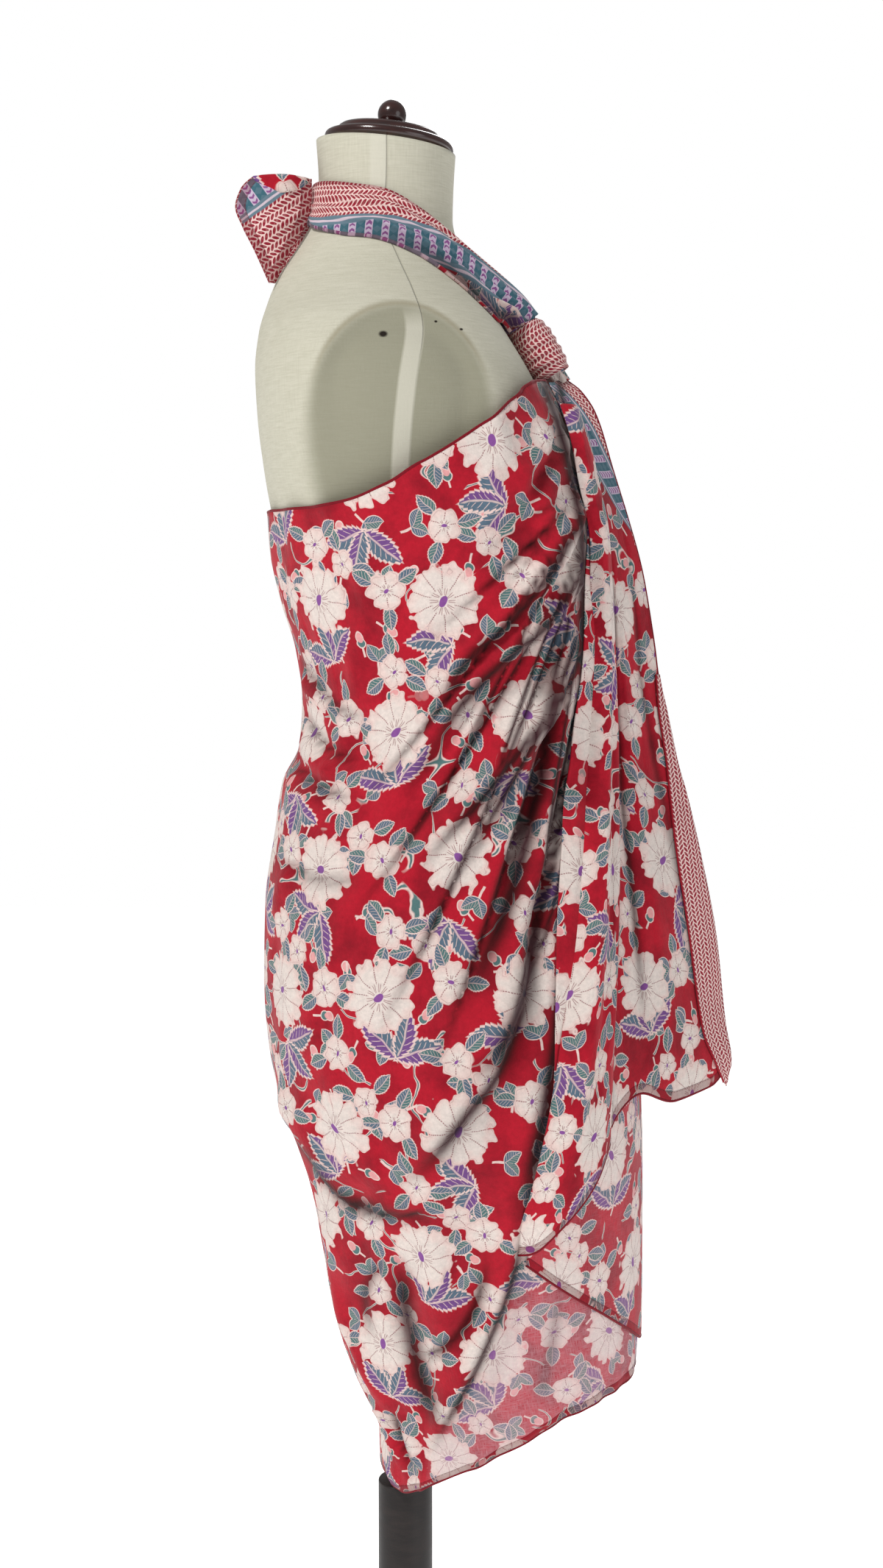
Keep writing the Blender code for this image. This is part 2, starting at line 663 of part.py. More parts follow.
def makeCascades(cloth, border):
    share = np.linspace(0.0, 1.0, cascadeColumns)
    hems = readTable(cascadeHem, share)
    down = np.linspace(0.0, 1.0, cascadeRows)[:, None]
    for name, near in (("cascade", True), ("far_cascade", False)):
        hem = hems["near"] if near else hems["far"]
        top = cascadeTop + cascadeTopRise * share
        z = top + (hem - top) * down
        points = cascadePoints(share[None, :], z, near)
        addSheet(name, points, clothWall, cloth, flip=near)
    # The turned border lies on the near face along the front edge
    stripShare = np.linspace(0.0, 1.0, len(stripFoot))[None, :]
    foot = np.array(stripFoot)[None, :]
    z = stripTop + (foot - stripTop) * np.linspace(0.0, 1.0, stripRows)[:, None]
    section = readTable(cascadeSections, z)
    inner = section["stripX"]
    bend = wrapPoints(-section["bendAngle"], z, cascadeOffset)[..., 0]
    reach = np.maximum(section["edgeX"] - bend, 0.01)
    innerShare = 1.0 - stripShareScale * (section["edgeX"] - inner) / reach
    shareGrid = innerShare + (1.0 - innerShare) * stripShare
    points = standOff(shareGrid, z, True, clothWall + restGap + touchGap)
    addSheet("edge_strip", points, clothWall, border, flip=True)


def makeFrontFold(cloth):
    share = np.linspace(0.0, 1.0, frontFoldColumns)
    hem = readTable(frontFoldHem, share)["z"]
    z = frontFoldTop + (hem - frontFoldTop) * np.linspace(0.0, 1.0, frontFoldRows)[:, None]
    section = readTable(frontFoldSections, z)
    x = section["left"] + (section["right"] - section["left"]) * share[None, :]
    angle = angleAt(x, z)
    bulge = section["bulge"] * np.sin(math.pi * share[None, :]) ** 0.8
    lift = frontFoldTopLift * smoothStep(1.20, 1.25, z)
    points = wrapPoints(angle, z, frontFoldOffset + lift + bulge)
    addSheet("front_fold", points, clothWall, cloth, flip=True)


def makeUnderFlap(cloth):
    share = np.linspace(0.0, 1.0, flapColumns)[None, :]
    hem = readTable(flapHem, share)["z"]
    z = flapTop + (hem - flapTop) * np.linspace(0.0, 1.0, flapRows)[:, None]
    side = angleAt(readTable(flapSide, z)["x"], z)
    angle = flapFrontAngle + (side - flapFrontAngle) * share
    points = wrapPoints(angle, z, flapOffset)
    addSheet("under_flap", points, clothWall, cloth)


def smoothRoute(points, count):
    """Points evenly spread on a Catmull-Rom curve through the given ones."""
    points = np.asarray(points, float)
    padded = np.vstack([2 * points[0] - points[1], points, 2 * points[-1] - points[-2]])
    spots = np.linspace(0.0, len(points) - 1.0, count)
    index = np.minimum(spots.astype(int), len(points) - 2)
    share = (spots - index)[:, None]
    before, start, end, after = padded[index], padded[index + 1], padded[index + 2], padded[index + 3]
    return 0.5 * (
        2 * start
        + (end - before) * share
        + (2 * before - 5 * start + 4 * end - after) * share**2
        + (3 * start - before - 3 * end + after) * share**3
    )


def makeStraps(cloth):
    rows = np.array(strapStations[1:], float)
    upper = smoothRoute(rows[:, 0:3], strapColumns)
    lower = smoothRoute(rows[:, 3:6], strapColumns)
    bulge = smoothRoute(rows[:, 6:7], strapColumns)[:, 0]
    for name, side in (("near_strap", -1.0), ("far_strap", 1.0)):
        across = np.linspace(0.0, 1.0, strapRows)[:, None, None]
        points = upper[None] * (1 - across) + lower[None] * across
        out = points - np.array([strapCentreX, 0.0, 0.0])
        out[..., 2] = strapOutRise
        out = out / np.linalg.norm(out, axis=-1, keepdims=True)
        wave = np.sin(math.pi * across[..., 0]) + 0.35 * np.sin(3 * math.pi * across[..., 0])
        points = points + out * (bulge[None, :] * wave)[..., None]
        points = pushOffTorso(points, strapWall + restGap + touchGap)
        points[..., 1] *= side
        addSheet(name, points, strapWall, cloth, flip=side > 0)


def ringPoint(along, turn, inset):
    """A point round the tie at the chest: along 0 is its upper end and 1 its lower."""
    widthways = Vector((0.0, 1.0, 0.0))
    outwards = widthways.cross(ringAxis).normalized()
    middle = min(max(along, 0.0), 1.0)
    barrel = 0.80 + 0.20 * math.sin(math.pi * middle) ** 0.6
    crease = 1.0 + 0.03 * math.sin(3 * turn + 4 * middle)
    return (
        ringCentre
        + ringAxis * (ringLength * (along - 0.5))
        + widthways * ((ringHalfWidth * barrel * crease - inset) * math.cos(turn))
        + outwards * ((ringHalfDepth * barrel * crease - inset) * math.sin(turn))
    )


def makeRing(border):
    points = np.zeros((ringRows, ringColumns, 3))
    for row in range(ringRows):
        for column in range(ringColumns):
            points[row, column] = ringPoint(row / (ringRows - 1), 2 * math.pi * column / ringColumns, 0.0)
    points = pushOffTorso(points, touchGap)
    addSheet("knot_ring", points, strapWall, border, closed=True, flip=True)


def makeGather(cloth):
    """The gathered cloth that the ring holds, its folds as ridges along it."""
    rings = []
    for row in range(gatherRows):
        along = gatherStart + (gatherEnd - gatherStart) * row / (gatherRows - 1)
        ring = []
        for column in range(gatherFolds * 4):
            turn = 2 * math.pi * column / (gatherFolds * 4)
            ridge = gatherRidge * (0.5 - 0.5 * math.cos(gatherFolds * turn))
            ring.append(ringPoint(along, turn, strapWall + 2 * restGap + ridge))
        rings.append(ring)
    addLoft("gather", rings, cloth, 80.0)


def makeNeckKnot(cloth):
    rings = []
    for step in reversed(range(1, 10)):
        turn = math.pi * step / 10
        ring = []
        for index in range(20):
            around = 2 * math.pi * index / 20
            crease = 1.0 + 0.05 * math.sin(2 * around + 2.5 * turn)
            ring.append(
                (
                    knotCentre.x + knotRadii.x * math.sin(turn) * crease * math.cos(around),
                    knotCentre.y + knotRadii.y * math.cos(turn),
                    knotCentre.z + knotRadii.z * math.sin(turn) * crease * math.sin(around),
                )
            )
        rings.append(ring)
    addLoft("neck_knot", rings, cloth, 80.0)


def makeTails(border):
    tails = (("neck_tail", -1.0, 1.0, 0.0), ("far_tail", 1.0, farTailShrink, farTailSeat))
    for name, side, size, seat in tails:
        rise = np.linspace(1.0, 0.0, tailRows)[:, None]
        z = tailSections[-1][0] + (tailSections[1][0] - tailSections[-1][0]) * rise
        section = readTable(tailSections, z)
        share = np.linspace(0.0, 1.0, tailColumns)[None, :]
        x = section["backX"] + (section["neckX"] - section["backX"]) * share
        y = section["backY"] + (section["neckY"] - section["backY"]) * share
        y = y + tailBelly * np.sin(math.pi * share) * smoothStep(1.36, 1.40, z)
        z = np.broadcast_to(z, x.shape)
        points = np.stack([x, y, z], axis=-1)
        points = tailRoot + (points - tailRoot) * size
        points[..., 1] -= seat
        points = pushOffTorso(points, clothWall + restGap)
        points[..., 1] *= side
        addSheet(name, points, clothWall, border, flip=side > 0)


def main():
    for item in list(bpy.data.objects):
        bpy.data.objects.remove(item, do_unlink=True)
    cloth = makeMaterial("printed cotton", clothRed, 0.85, 0.2)
    border = makeMaterial("border cotton", borderPink, 0.85, 0.2)
    strap = makeMaterial("strap cotton", borderTeal, 0.85, 0.2)
    linenCover = makeMaterial("linen", linen, 0.9, 0.1)
    wood = makeMaterial("dark wood", darkWood, 0.25)
    metal = makeMaterial("black pole", blackPole, 0.45)
    makeTorso(linenCover)
    makeNeckCap(wood)
    makeStand(metal)
    makeWrap(cloth)
    makeCascades(cloth, border)
    makeFrontFold(cloth)
    makeUnderFlap(cloth)
    makeStraps(strap)
    makeRing(border)
    makeGather(cloth)
    makeNeckKnot(border)
    makeTails(border)


main()
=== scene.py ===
import math

import bpy
import numpy as np
from mathutils import Matrix, Vector


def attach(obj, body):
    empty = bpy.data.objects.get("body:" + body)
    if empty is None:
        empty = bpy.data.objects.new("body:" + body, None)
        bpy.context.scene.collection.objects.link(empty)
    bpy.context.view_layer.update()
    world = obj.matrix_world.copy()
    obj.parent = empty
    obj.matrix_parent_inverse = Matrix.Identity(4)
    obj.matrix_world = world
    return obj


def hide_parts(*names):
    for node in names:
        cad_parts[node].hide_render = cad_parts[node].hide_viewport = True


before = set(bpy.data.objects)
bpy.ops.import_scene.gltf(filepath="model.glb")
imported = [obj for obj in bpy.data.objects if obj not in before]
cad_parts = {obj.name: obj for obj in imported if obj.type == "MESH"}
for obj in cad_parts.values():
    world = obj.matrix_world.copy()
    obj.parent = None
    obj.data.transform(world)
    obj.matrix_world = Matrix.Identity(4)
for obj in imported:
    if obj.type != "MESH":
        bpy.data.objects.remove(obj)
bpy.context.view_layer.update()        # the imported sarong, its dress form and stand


# Shared helpers for shapes

def smoothStep(low, high, value):
    share = np.clip((np.asarray(value, float) - low) / (high - low), 0.0, 1.0)
    return share * share * (3.0 - 2.0 * share)


def readTable(table, at):
    # Every column of a table at the given values of its first column, on a curve that doesn't overshoot
    rows = np.array(table[1:], float)
    rows = rows[np.argsort(rows[:, 0])]
    keys = rows[:, 0]
    at = np.clip(np.asarray(at, float), keys[0], keys[-1])
    spot = np.clip(np.searchsorted(keys, at, side="right") - 1, 0, len(keys) - 2)
    steps = np.diff(keys)
    share = (at - keys[spot]) / steps[spot]
    square = share * share
    cube = square * share
    found = {}
    for index, name in enumerate(table[0]):
        values = rows[:, index]
        slopes = np.diff(values) / steps
        ends = np.zeros(len(keys))
        product = slopes[:-1] * slopes[1:]
        steady = product > 0
        ends[1:-1][steady] = 2 * product[steady] / (slopes[:-1] + slopes[1:])[steady]
        ends[0] = slopes[0]
        ends[-1] = slopes[-1]
        rise = steps[spot]
        found[name] = (
            (2 * cube - 3 * square + 1) * values[spot]
            + (cube - 2 * square + share) * rise * ends[spot]
            + (3 * square - 2 * cube) * values[spot + 1]
            + (cube - square) * rise * ends[spot + 1]
        )
    return found


def roundPower(value, power):
    return np.sign(value) * np.abs(value) ** (2.0 / power)


def smoothRoute(points, count):
    # Points evenly spread on a smooth curve through the given ones
    points = np.asarray(points, float)
    padded = np.vstack([2 * points[0] - points[1], points, 2 * points[-1] - points[-2]])
    spots = np.linspace(0.0, len(points) - 1.0, count)
    index = np.minimum(spots.astype(int), len(points) - 2)
    share = (spots - index)[:, None]
    before, start, end, after = padded[index], padded[index + 1], padded[index + 2], padded[index + 3]
    return 0.5 * (
        2 * start
        + (end - before) * share
        + (2 * before - 5 * start + 4 * end - after) * share**2
        + (3 * start - before - 3 * end + after) * share**3
    )


def routeDistance(route, x, z):
    # Distance to a route, positive on its left, and how far along it the nearest point lies
    line = smoothRoute(route, 5 * len(route))
    nearest = np.full(np.shape(x), 9.0)
    along = np.zeros(np.shape(x))
    left = np.zeros(np.shape(x))
    count = len(line) - 1
    for index in range(count):
        start = line[index]
        run = line[index + 1] - start
        share = ((x - start[0]) * run[0] + (z - start[1]) * run[1]) / (run @ run)
        share = np.clip(share, 0.0, 1.0)
        away = np.hypot(x - start[0] - share * run[0], z - start[1] - share * run[1])
        closer = away < nearest
        nearest = np.where(closer, away, nearest)
        along = np.where(closer, (index + share) / count, along)
        left = np.where(closer, run[0] * (z - start[1]) - run[1] * (x - start[0]), left)
    return np.where(left > 0, nearest, -nearest), along


# Where a fold and its shade grow and fade, in shares of its route, and how high a fold has full shade
foldTaper = {"start": 0.22, "end": 0.72, "endShare": 0.8, "shadeStart": 0.25, "shadeEnd": 0.70}
pleatShape = {"steep": 0.38, "shadePlace": 0.4, "shadeWidth": 0.4, "troughShade": 0.7, "full": 0.0042}
fanShape = {
    "growth": 0.05,
    "fade": 0.12,
    "gapPlace": 1.25,
    "gapWidth": 0.48,
    "gapDepth": 0.9,
    "full": 0.0022,
}


def bell(away, width):
    return np.exp(-((away / width) ** 2))


def foldRise(folds, x, z):
    # The sum of the folds; a pleat falls away steeply on the left of its route
    total = np.zeros(np.shape(x))
    for kind, height, width, route in folds:
        away, along = routeDistance(route, x, z)
        reach = np.where(away > 0, width * pleatShape["steep"], width) if kind == "pleat" else width
        ending = foldTaper["endShare"] * smoothStep(foldTaper["end"], 1.0, along)
        taper = smoothStep(0.0, foldTaper["start"], along) * (1.0 - ending)
        total += (-height if kind == "trough" else height) * taper * bell(away, reach)
    return total


def foldShade(folds, x, z):
    # How much painted shade the cloth gets in its pleats, troughs and deep creases, 0 to 1
    total = np.zeros(np.shape(x))
    for kind, height, width, route in folds:
        if kind == "ridge":
            continue
        away, along = routeDistance(route, x, z)
        taper = smoothStep(0.02, foldTaper["shadeStart"], along)
        taper = taper * (1.0 - smoothStep(foldTaper["shadeEnd"], 1.0, along))
        middle = width * pleatShape["shadePlace"] if kind == "pleat" else 0.0
        reach = width * pleatShape["shadeWidth" if kind == "pleat" else "troughShade"]
        depth = min(height / pleatShape["full"], 1.0)
        total = np.maximum(total, depth * taper * bell(away - middle, reach))
    return total


def fanOfPleats(fan, x, z):
    # Pleats that run out from the tie, each a ridge with a narrow gap on its lower side, and their shade
    reach = np.hypot(x - fan["knot"][0], z - fan["knot"][1])
    turn = np.degrees(np.arctan2(fan["knot"][1] - z, fan["knot"][0] - x))
    rise = np.zeros(np.shape(x))
    shade = np.zeros(np.shape(x))
    for middle, curve, start, end, height, width in fan["pleats"]:
        wide = width + fan["spread"] * reach
        away = np.radians(turn - middle - curve * (reach - fanShape["fade"])) * reach
        taper = smoothStep(start, start + fanShape["growth"], reach)
        taper = taper * (1.0 - smoothStep(end - fanShape["fade"], end, reach))
        gap = bell(away - fanShape["gapPlace"] * wide, fanShape["gapWidth"] * wide)
        rise += height * taper * (bell(away, wide) - fanShape["gapDepth"] * gap)
        shade = np.maximum(shade, taper * min(height / fanShape["full"], 1.0) * gap)
    return rise, shade


def ripple(x, y, waves):
    # Slow uneven rises, one for each (height, length across, length up, start) row
    total = np.zeros(np.shape(x))
    for height, lengthX, lengthY, start in waves:
        bend = 0.6 * np.sin(2 * math.pi * y / (lengthY * 1.7) + start * 2.3)
        total += height * np.sin(2 * math.pi * x / lengthX + bend + start) * np.sin(
            2 * math.pi * y / lengthY + start * 1.7
        )
    return total


def unit(vectors):
    return vectors / np.maximum(np.linalg.norm(vectors, axis=-1, keepdims=True), 1e-12)


def sheetNormals(points, flip=False, closed=False):
    # The way out of a sheet at each point of its grid
    if closed:
        wide = np.concatenate([points[:, -1:], points, points[:, :1]], axis=1)
        across = (wide[:, 2:] - wide[:, :-2]) / 2
    else:
        across = np.gradient(points, axis=1)
    return unit(np.cross(across, np.gradient(points, axis=0))) * (-1.0 if flip else 1.0)


def clothMap(points, middle=0.5, shift=(0.0, 0.0), closed=False):
    # Metres along and down the cloth at each point, measured on its own surface
    if closed:
        points = np.concatenate([points, points[:, :1]], axis=1)
    across = np.linalg.norm(np.diff(points, axis=1), axis=-1)
    along = np.concatenate([np.zeros((len(points), 1)), np.cumsum(across, axis=1)], axis=1)
    centre = int(middle * (points.shape[1] - 1))
    along = along - along[:, centre : centre + 1]
    fall = np.linalg.norm(np.diff(points, axis=0), axis=-1)
    down = np.concatenate([np.zeros((1, points.shape[1])), np.cumsum(fall, axis=0)], axis=0)
    return np.stack([along + shift[0], down + shift[1]], axis=-1)


def cutSize(points):
    # Width and length of a sheet laid flat
    width = np.linalg.norm(np.diff(points, axis=1), axis=-1).sum(axis=1).mean()
    length = np.linalg.norm(np.diff(points, axis=0), axis=-1).sum(axis=0).mean()
    return round(float(width), 3), round(float(length), 3)


def placeObject(name, data):
    made = bpy.data.objects.new(name, data)
    bpy.context.scene.collection.objects.link(made)
    return made


def addMesh(name, points, faces, material, smooth=True):
    mesh = bpy.data.meshes.new(name)
    mesh.from_pydata([tuple(map(float, point)) for point in points], [], faces)
    mesh.materials.append(material)
    if smooth:
        mesh.shade_smooth()
    mesh.update()
    return placeObject(name, mesh)


def faceCorners(mesh):
    # The vertex at each corner of each face
    vertex = np.zeros(len(mesh.loops), np.int32)
    mesh.loops.foreach_get("vertex_index", vertex)
    return vertex


def writeMap(mesh, title, values):
    # A map from a pair of values for each corner of each face
    made = mesh.uv_layers.get(title) or mesh.uv_layers.new(name=title)
    made.data.foreach_set("uv", values.astype(np.float32).ravel())


def writeTint(mesh, title, values):
    # One value for each vertex, for a material to read
    made = mesh.attributes.new(title, "FLOAT", "POINT")
    made.data.foreach_set("value", values.ravel().astype(np.float32))


bakeSheet = {"margin": 0.004, "across": 0.488, "down": 0.992, "inner": 0.5}


def addShell(
    name, outer, wall, material, cloth, hem=None, border=None, pale=None, deep=None, closed=False, flip=False
):
    # A thin closed shell on a grid of outer points, with its maps in metres and a flat map of both its sides
    rows, columns = outer.shape[:2]
    inner = outer - sheetNormals(outer, flip, closed) * wall
    points = np.concatenate([outer.reshape(-1, 3), inner.reshape(-1, 3)])
    spans = columns if closed else columns - 1
    mapColumns = spans + 1

    def corners(row, column):
        row, column = np.broadcast_arrays(row, column)
        return np.stack([row * columns + column % columns, row * mapColumns + column], axis=-1)

    row = np.arange(rows - 1)[:, None]
    column = np.arange(spans)[None, :]
    ahead = [corners(row, column), corners(row, column + 1)]
    below = [corners(row + 1, column + 1), corners(row + 1, column)]
    quads = np.stack(ahead + below, axis=2).reshape(-1, 4, 2)
    outside = np.zeros((len(quads), 4), int)
    faces = [quads, quads[:, ::-1]]
    sides = [outside, outside + 1]
    edges = [(corners(0, column[0] + 1), corners(0, column[0]))]
    edges.append((corners(rows - 1, column[0]), corners(rows - 1, column[0] + 1)))
    if not closed:
        edges.append((corners(row[:, 0], 0), corners(row[:, 0] + 1, 0)))
        edges.append((corners(row[:, 0] + 1, columns - 1), corners(row[:, 0], columns - 1)))
    for first, second in edges:
        faces.append(np.stack([first, second, second, first], axis=1))
        sides.append(np.tile([0, 0, 1, 1], (len(first), 1)))
    faces = np.concatenate(faces)
    sides = np.concatenate(sides)
    if flip:
        faces = faces[:, ::-1]
        sides = sides[:, ::-1]
    vertex = (faces[..., 0] + sides * rows * columns).ravel()
    spot = faces[..., 1].ravel()

    mesh = bpy.data.meshes.new(name)
    mesh.vertices.add(len(points))
    mesh.vertices.foreach_set("co", points.astype(np.float32).ravel())
    mesh.loops.add(len(vertex))
    mesh.loops.foreach_set("vertex_index", vertex.astype(np.int32))
    mesh.polygons.add(len(faces))
    mesh.polygons.foreach_set("loop_start", np.arange(0, len(vertex), 4, dtype=np.int32))
    far = np.full((rows, mapColumns, 2), 1.0)
    for title, values in (("Cloth", cloth), ("Hem", hem), ("Border", border)):
        writeMap(mesh, title, (far if values is None else values).reshape(-1, 2)[spot])
    # Outer side on the left half, inner side on the right; the rim takes its outer edge's place
    shareAcross, shareDown = np.meshgrid(np.linspace(0, 1, mapColumns), np.linspace(0, 1, rows))
    bakeAcross = bakeSheet["margin"] + bakeSheet["across"] * shareAcross
    bakeDown = bakeSheet["margin"] + bakeSheet["down"] * shareDown
    bake = np.stack([bakeAcross, bakeDown], axis=-1).reshape(-1, 2)[spot]
    bake[np.repeat(sides.all(axis=1), 4), 0] += bakeSheet["inner"]
    writeMap(mesh, "OFBake", bake)
    for title, values in (("pale", pale), ("deep", deep)):
        if values is not None:
            writeTint(mesh, title, np.tile(values.ravel(), 2))
    mesh.materials.append(material)
    mesh.update(calc_edges=True)
    mesh.validate()
    mesh.shade_smooth()
    return placeObject(name, mesh)


def addLoft(name, rings, material, inward=False):
    # Rings of points joined one to the next and closed at both ends
    count = len(rings[0])
    points = np.concatenate([np.asarray(ring, float) for ring in rings])
    ring = np.arange(len(rings) - 1)[:, None] * count
    index = np.arange(count)[None, :]
    following = (index + 1) % count
    corners = [ring + index, ring + count + index, ring + count + following, ring + following]
    quads = np.stack(corners, axis=-1)
    faces = [tuple(face) for face in quads.reshape(-1, 4).tolist()]
    faces.append(tuple(range(count)))
    faces.append(tuple(len(points) - count + index for index in reversed(range(count))))
    if inward:
        faces = [face[:1] + face[:0:-1] for face in faces]
    return addMesh(name, points, faces, material)


def settle(piece, node=None):
    # Every piece rides on the one body, and may stand for a node
    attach(piece, "root")
    if node:
        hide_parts(node)
    return piece


# Shared helpers for finishes

def paint(red, green, blue):
    # A colour as the eye sees it, 0 to 255, in the shader's own values
    values = []
    for part in (red / 255, green / 255, blue / 255):
        values.append(part / 12.92 if part <= 0.04045 else ((part + 0.055) / 1.055) ** 2.4)
    return (*values, 1.0)


def plug(tree, target, value):
    # A node's input takes a wire, another node's output or a fixed value
    if isinstance(value, Wire):
        value = value.socket
    if isinstance(value, bpy.types.NodeSocket):
        tree.links.new(value, target)
    else:
        target.default_value = value


def addNode(tree, kind, inputs=None, **settings):
    made = tree.nodes.new(kind)
    for key, value in settings.items():
        setattr(made, key, value)
    for key, value in (inputs or {}).items():
        plug(tree, made.inputs[key], value)
    return made


class Wire:
    # One value in a node tree, so that a pattern can be written as a formula
    def __init__(self, tree, socket):
        self.tree = tree
        self.socket = socket

    def node(self, operation, *others, clamp=False):
        values = dict(enumerate((self, *others)))
        made = addNode(self.tree, "ShaderNodeMath", values, operation=operation, use_clamp=clamp)
        return Wire(self.tree, made.outputs[0])

    def __add__(self, other):
        return self.node("ADD", other)

    def __sub__(self, other):
        return self.node("SUBTRACT", other)

    def __mul__(self, other):
        return self.node("MULTIPLY", other)

    def reverse(self):
        return self.node("MULTIPLY_ADD", -1.0, 1.0)

    def fract(self):
        return self.node("FRACT")

    def root(self):
        return self.node("SQRT")

    def size(self):
        return self.node("ABSOLUTE")

    def away(self, middle):
        return (self - middle).size()

    def most(self, other):
        return self.node("MAXIMUM", other)

    def scaled(self, size, start, clamp=False):
        return self.node("MULTIPLY_ADD", size, start, clamp=clamp)

    def below(self, limit, blur):
        if isinstance(limit, Wire):
            return (limit - self).scaled(1.0 / blur, 0.5, clamp=True)
        return self.scaled(-1.0 / blur, limit / blur + 0.5, clamp=True)

    def above(self, limit, blur):
        return self.scaled(1.0 / blur, 0.5 - limit / blur, clamp=True)


def mixColour(tree, share, under, over, blend="MIX"):
    inputs = {0: share, 6: under, 7: over}
    return addNode(tree, "ShaderNodeMix", inputs, data_type="RGBA", blend_type=blend).outputs[2]


def noise(tree, place, scale, detail=2.0, rough=0.5, distort=0.0, output="Fac"):
    inputs = {"Vector": place, "Scale": scale, "Detail": detail, "Roughness": rough, "Distortion": distort}
    made = addNode(tree, "ShaderNodeTexNoise", inputs)
    return made.outputs[output] if output == "Color" else Wire(tree, made.outputs[output])


def stretched(tree, place, scale):
    return addNode(tree, "ShaderNodeVectorMath", {0: place, 1: scale}, operation="MULTIPLY").outputs[0]


def xyz(tree, place):
    made = addNode(tree, "ShaderNodeSeparateXYZ", {0: place})
    return [Wire(tree, socket) for socket in made.outputs]


def uvPlace(tree, title):
    return addNode(tree, "ShaderNodeUVMap", uv_map=title).outputs[0]


def ownPlace(tree):
    return addNode(tree, "ShaderNodeTexCoord").outputs["Object"]


def tint(tree, title):
    return Wire(tree, addNode(tree, "ShaderNodeAttribute", attribute_name=title).outputs["Fac"])


def newMaterial(name):
    material = bpy.data.materials.new(name)
    material.use_nodes = True
    tree = material.node_tree
    return material, tree, tree.nodes["Principled BSDF"]


def finishMaterial(material, tree, shader, colour, height, bump, **values):
    # The colour, the bump as (distance, strength), and the values that are the same all over
    plug(tree, shader.inputs["Base Color"], colour)
    for key, value in values.items():
        plug(tree, shader.inputs[key.replace("_", " ")], value)
    inputs = {"Height": height, "Distance": bump[0], "Strength": bump[1]}
    plug(tree, shader.inputs["Normal"], addNode(tree, "ShaderNodeBump", inputs).outputs["Normal"])
    return material


# The block print

printLooks = {
    "ground": paint(182, 20, 42),
    "groundDark": paint(134, 10, 30),
    "petal": paint(228, 215, 208),
    "petalWarm": paint(228, 194, 188),
    "outline": paint(230, 202, 196),
    "line": paint(122, 34, 52),
    "middle": paint(136, 80, 152),
    "purple": paint(116, 76, 136),
    "greyBlue": paint(90, 110, 128),
    "teal": paint(84, 118, 118),
    "bud": paint(226, 160, 160),
    "chevronGround": paint(240, 208, 203),
    "chevronMark": paint(148, 28, 48),
    "stripe": paint(104, 128, 142),
    "stripeGap": paint(214, 196, 208),
    "square": paint(64, 104, 118),
    "bar": paint(202, 184, 206),
    "barMark": paint(140, 84, 140),
    "cell": (0.104, 0.096),
    "budCell": (0.037, 0.039),
    "littleCell": (0.043, 0.047),
    "blur": 0.00045,
    "wobble": 0.0030,
}

bigFlower = {"radius": 0.0260, "petals": 10, "shift": (0.00, 0.00), "jitter": 0.012, "key": 1.0}
middleFlower = {"radius": 0.0133, "petals": 6, "shift": (0.52, 0.06), "jitter": 0.012, "key": 2.0}
smallFlower = {"radius": 0.0113, "petals": 5, "shift": (0.04, 0.52), "jitter": 0.012, "key": 3.0}
lateFlower = {"radius": 0.0097, "petals": 5, "shift": (0.28, 0.30), "jitter": 0.016, "key": 6.0}
sprigs = {"length": 0.0185, "start": 0.0105, "leaves": 3, "width": 1.05, "teeth": 0.03}
stems = {"scale": 19.0, "breaks": 31.0, "outline": (0.0100, 0.004), "core": (0.0040, 0.003)}
littleLeaves = {
    "length": 0.0150,
    "spread": 0.70,
    "start": 0.06,
    "width": 1.20,
    "shift": (0.10, 0.60),
    "jitter": 0.014,
    "key": 7.0,
}
leafFans = {
    "length": 0.035,
    "spread": 1.05,
    "start": -0.04,
    "width": 0.84,
    "middleWidth": 0.80,
    "teeth": 0.05,
    "sideCurve": 0.22,
    "middleCurve": 0.30,
    "shift": (0.50, 0.56),
    "jitter": 0.014,
    "key": 4.0,
}
buds = {
    "half": (0.0029, 0.0040),
    "calyxHalf": (0.0032, 0.0030),
    "missing": 0.26,
    "shift": (0.30, 0.20),
    "jitter": 0.016,
    "key": 5.0,
}


# Shares of a flower's radius, except where a size in metres
flowerShape = {
    "rim": 0.55,
    "scallop": 0.20,
    "wobble": 0.5,
    "outline": 0.0012,
    "warmEdge": (0.0040, 0.0060, 0.55),
    "petalLine": 0.00034,
    "petalLineStart": 0.34,
    "dot": 0.0016,
    "stamenPlace": 0.30,
    "stamenLine": 0.00022,
    "stamens": (0.16, 0.37),
    "rimLine": (0.00020, 0.7),
    "lineShare": 0.80,
    "middle": 0.17,
    "middleSquash": 2.8,
}

# Shares of a leaf's length
leafShape = {
    "outline": (0.050, 0.030),
    "fill": 0.020,
    "toneEdge": (-0.02, 0.05),
    "teeth": 9.0,
    "midrib": (0.020, 0.02),
    "ribs": 7.0,
    "ribSlant": 0.9,
    "ribWidth": (0.15, 0.10),
    "ribStart": (0.035, 0.02),
    "ribEnd": (-0.035, 0.02),
    "ribShare": 0.75,
}


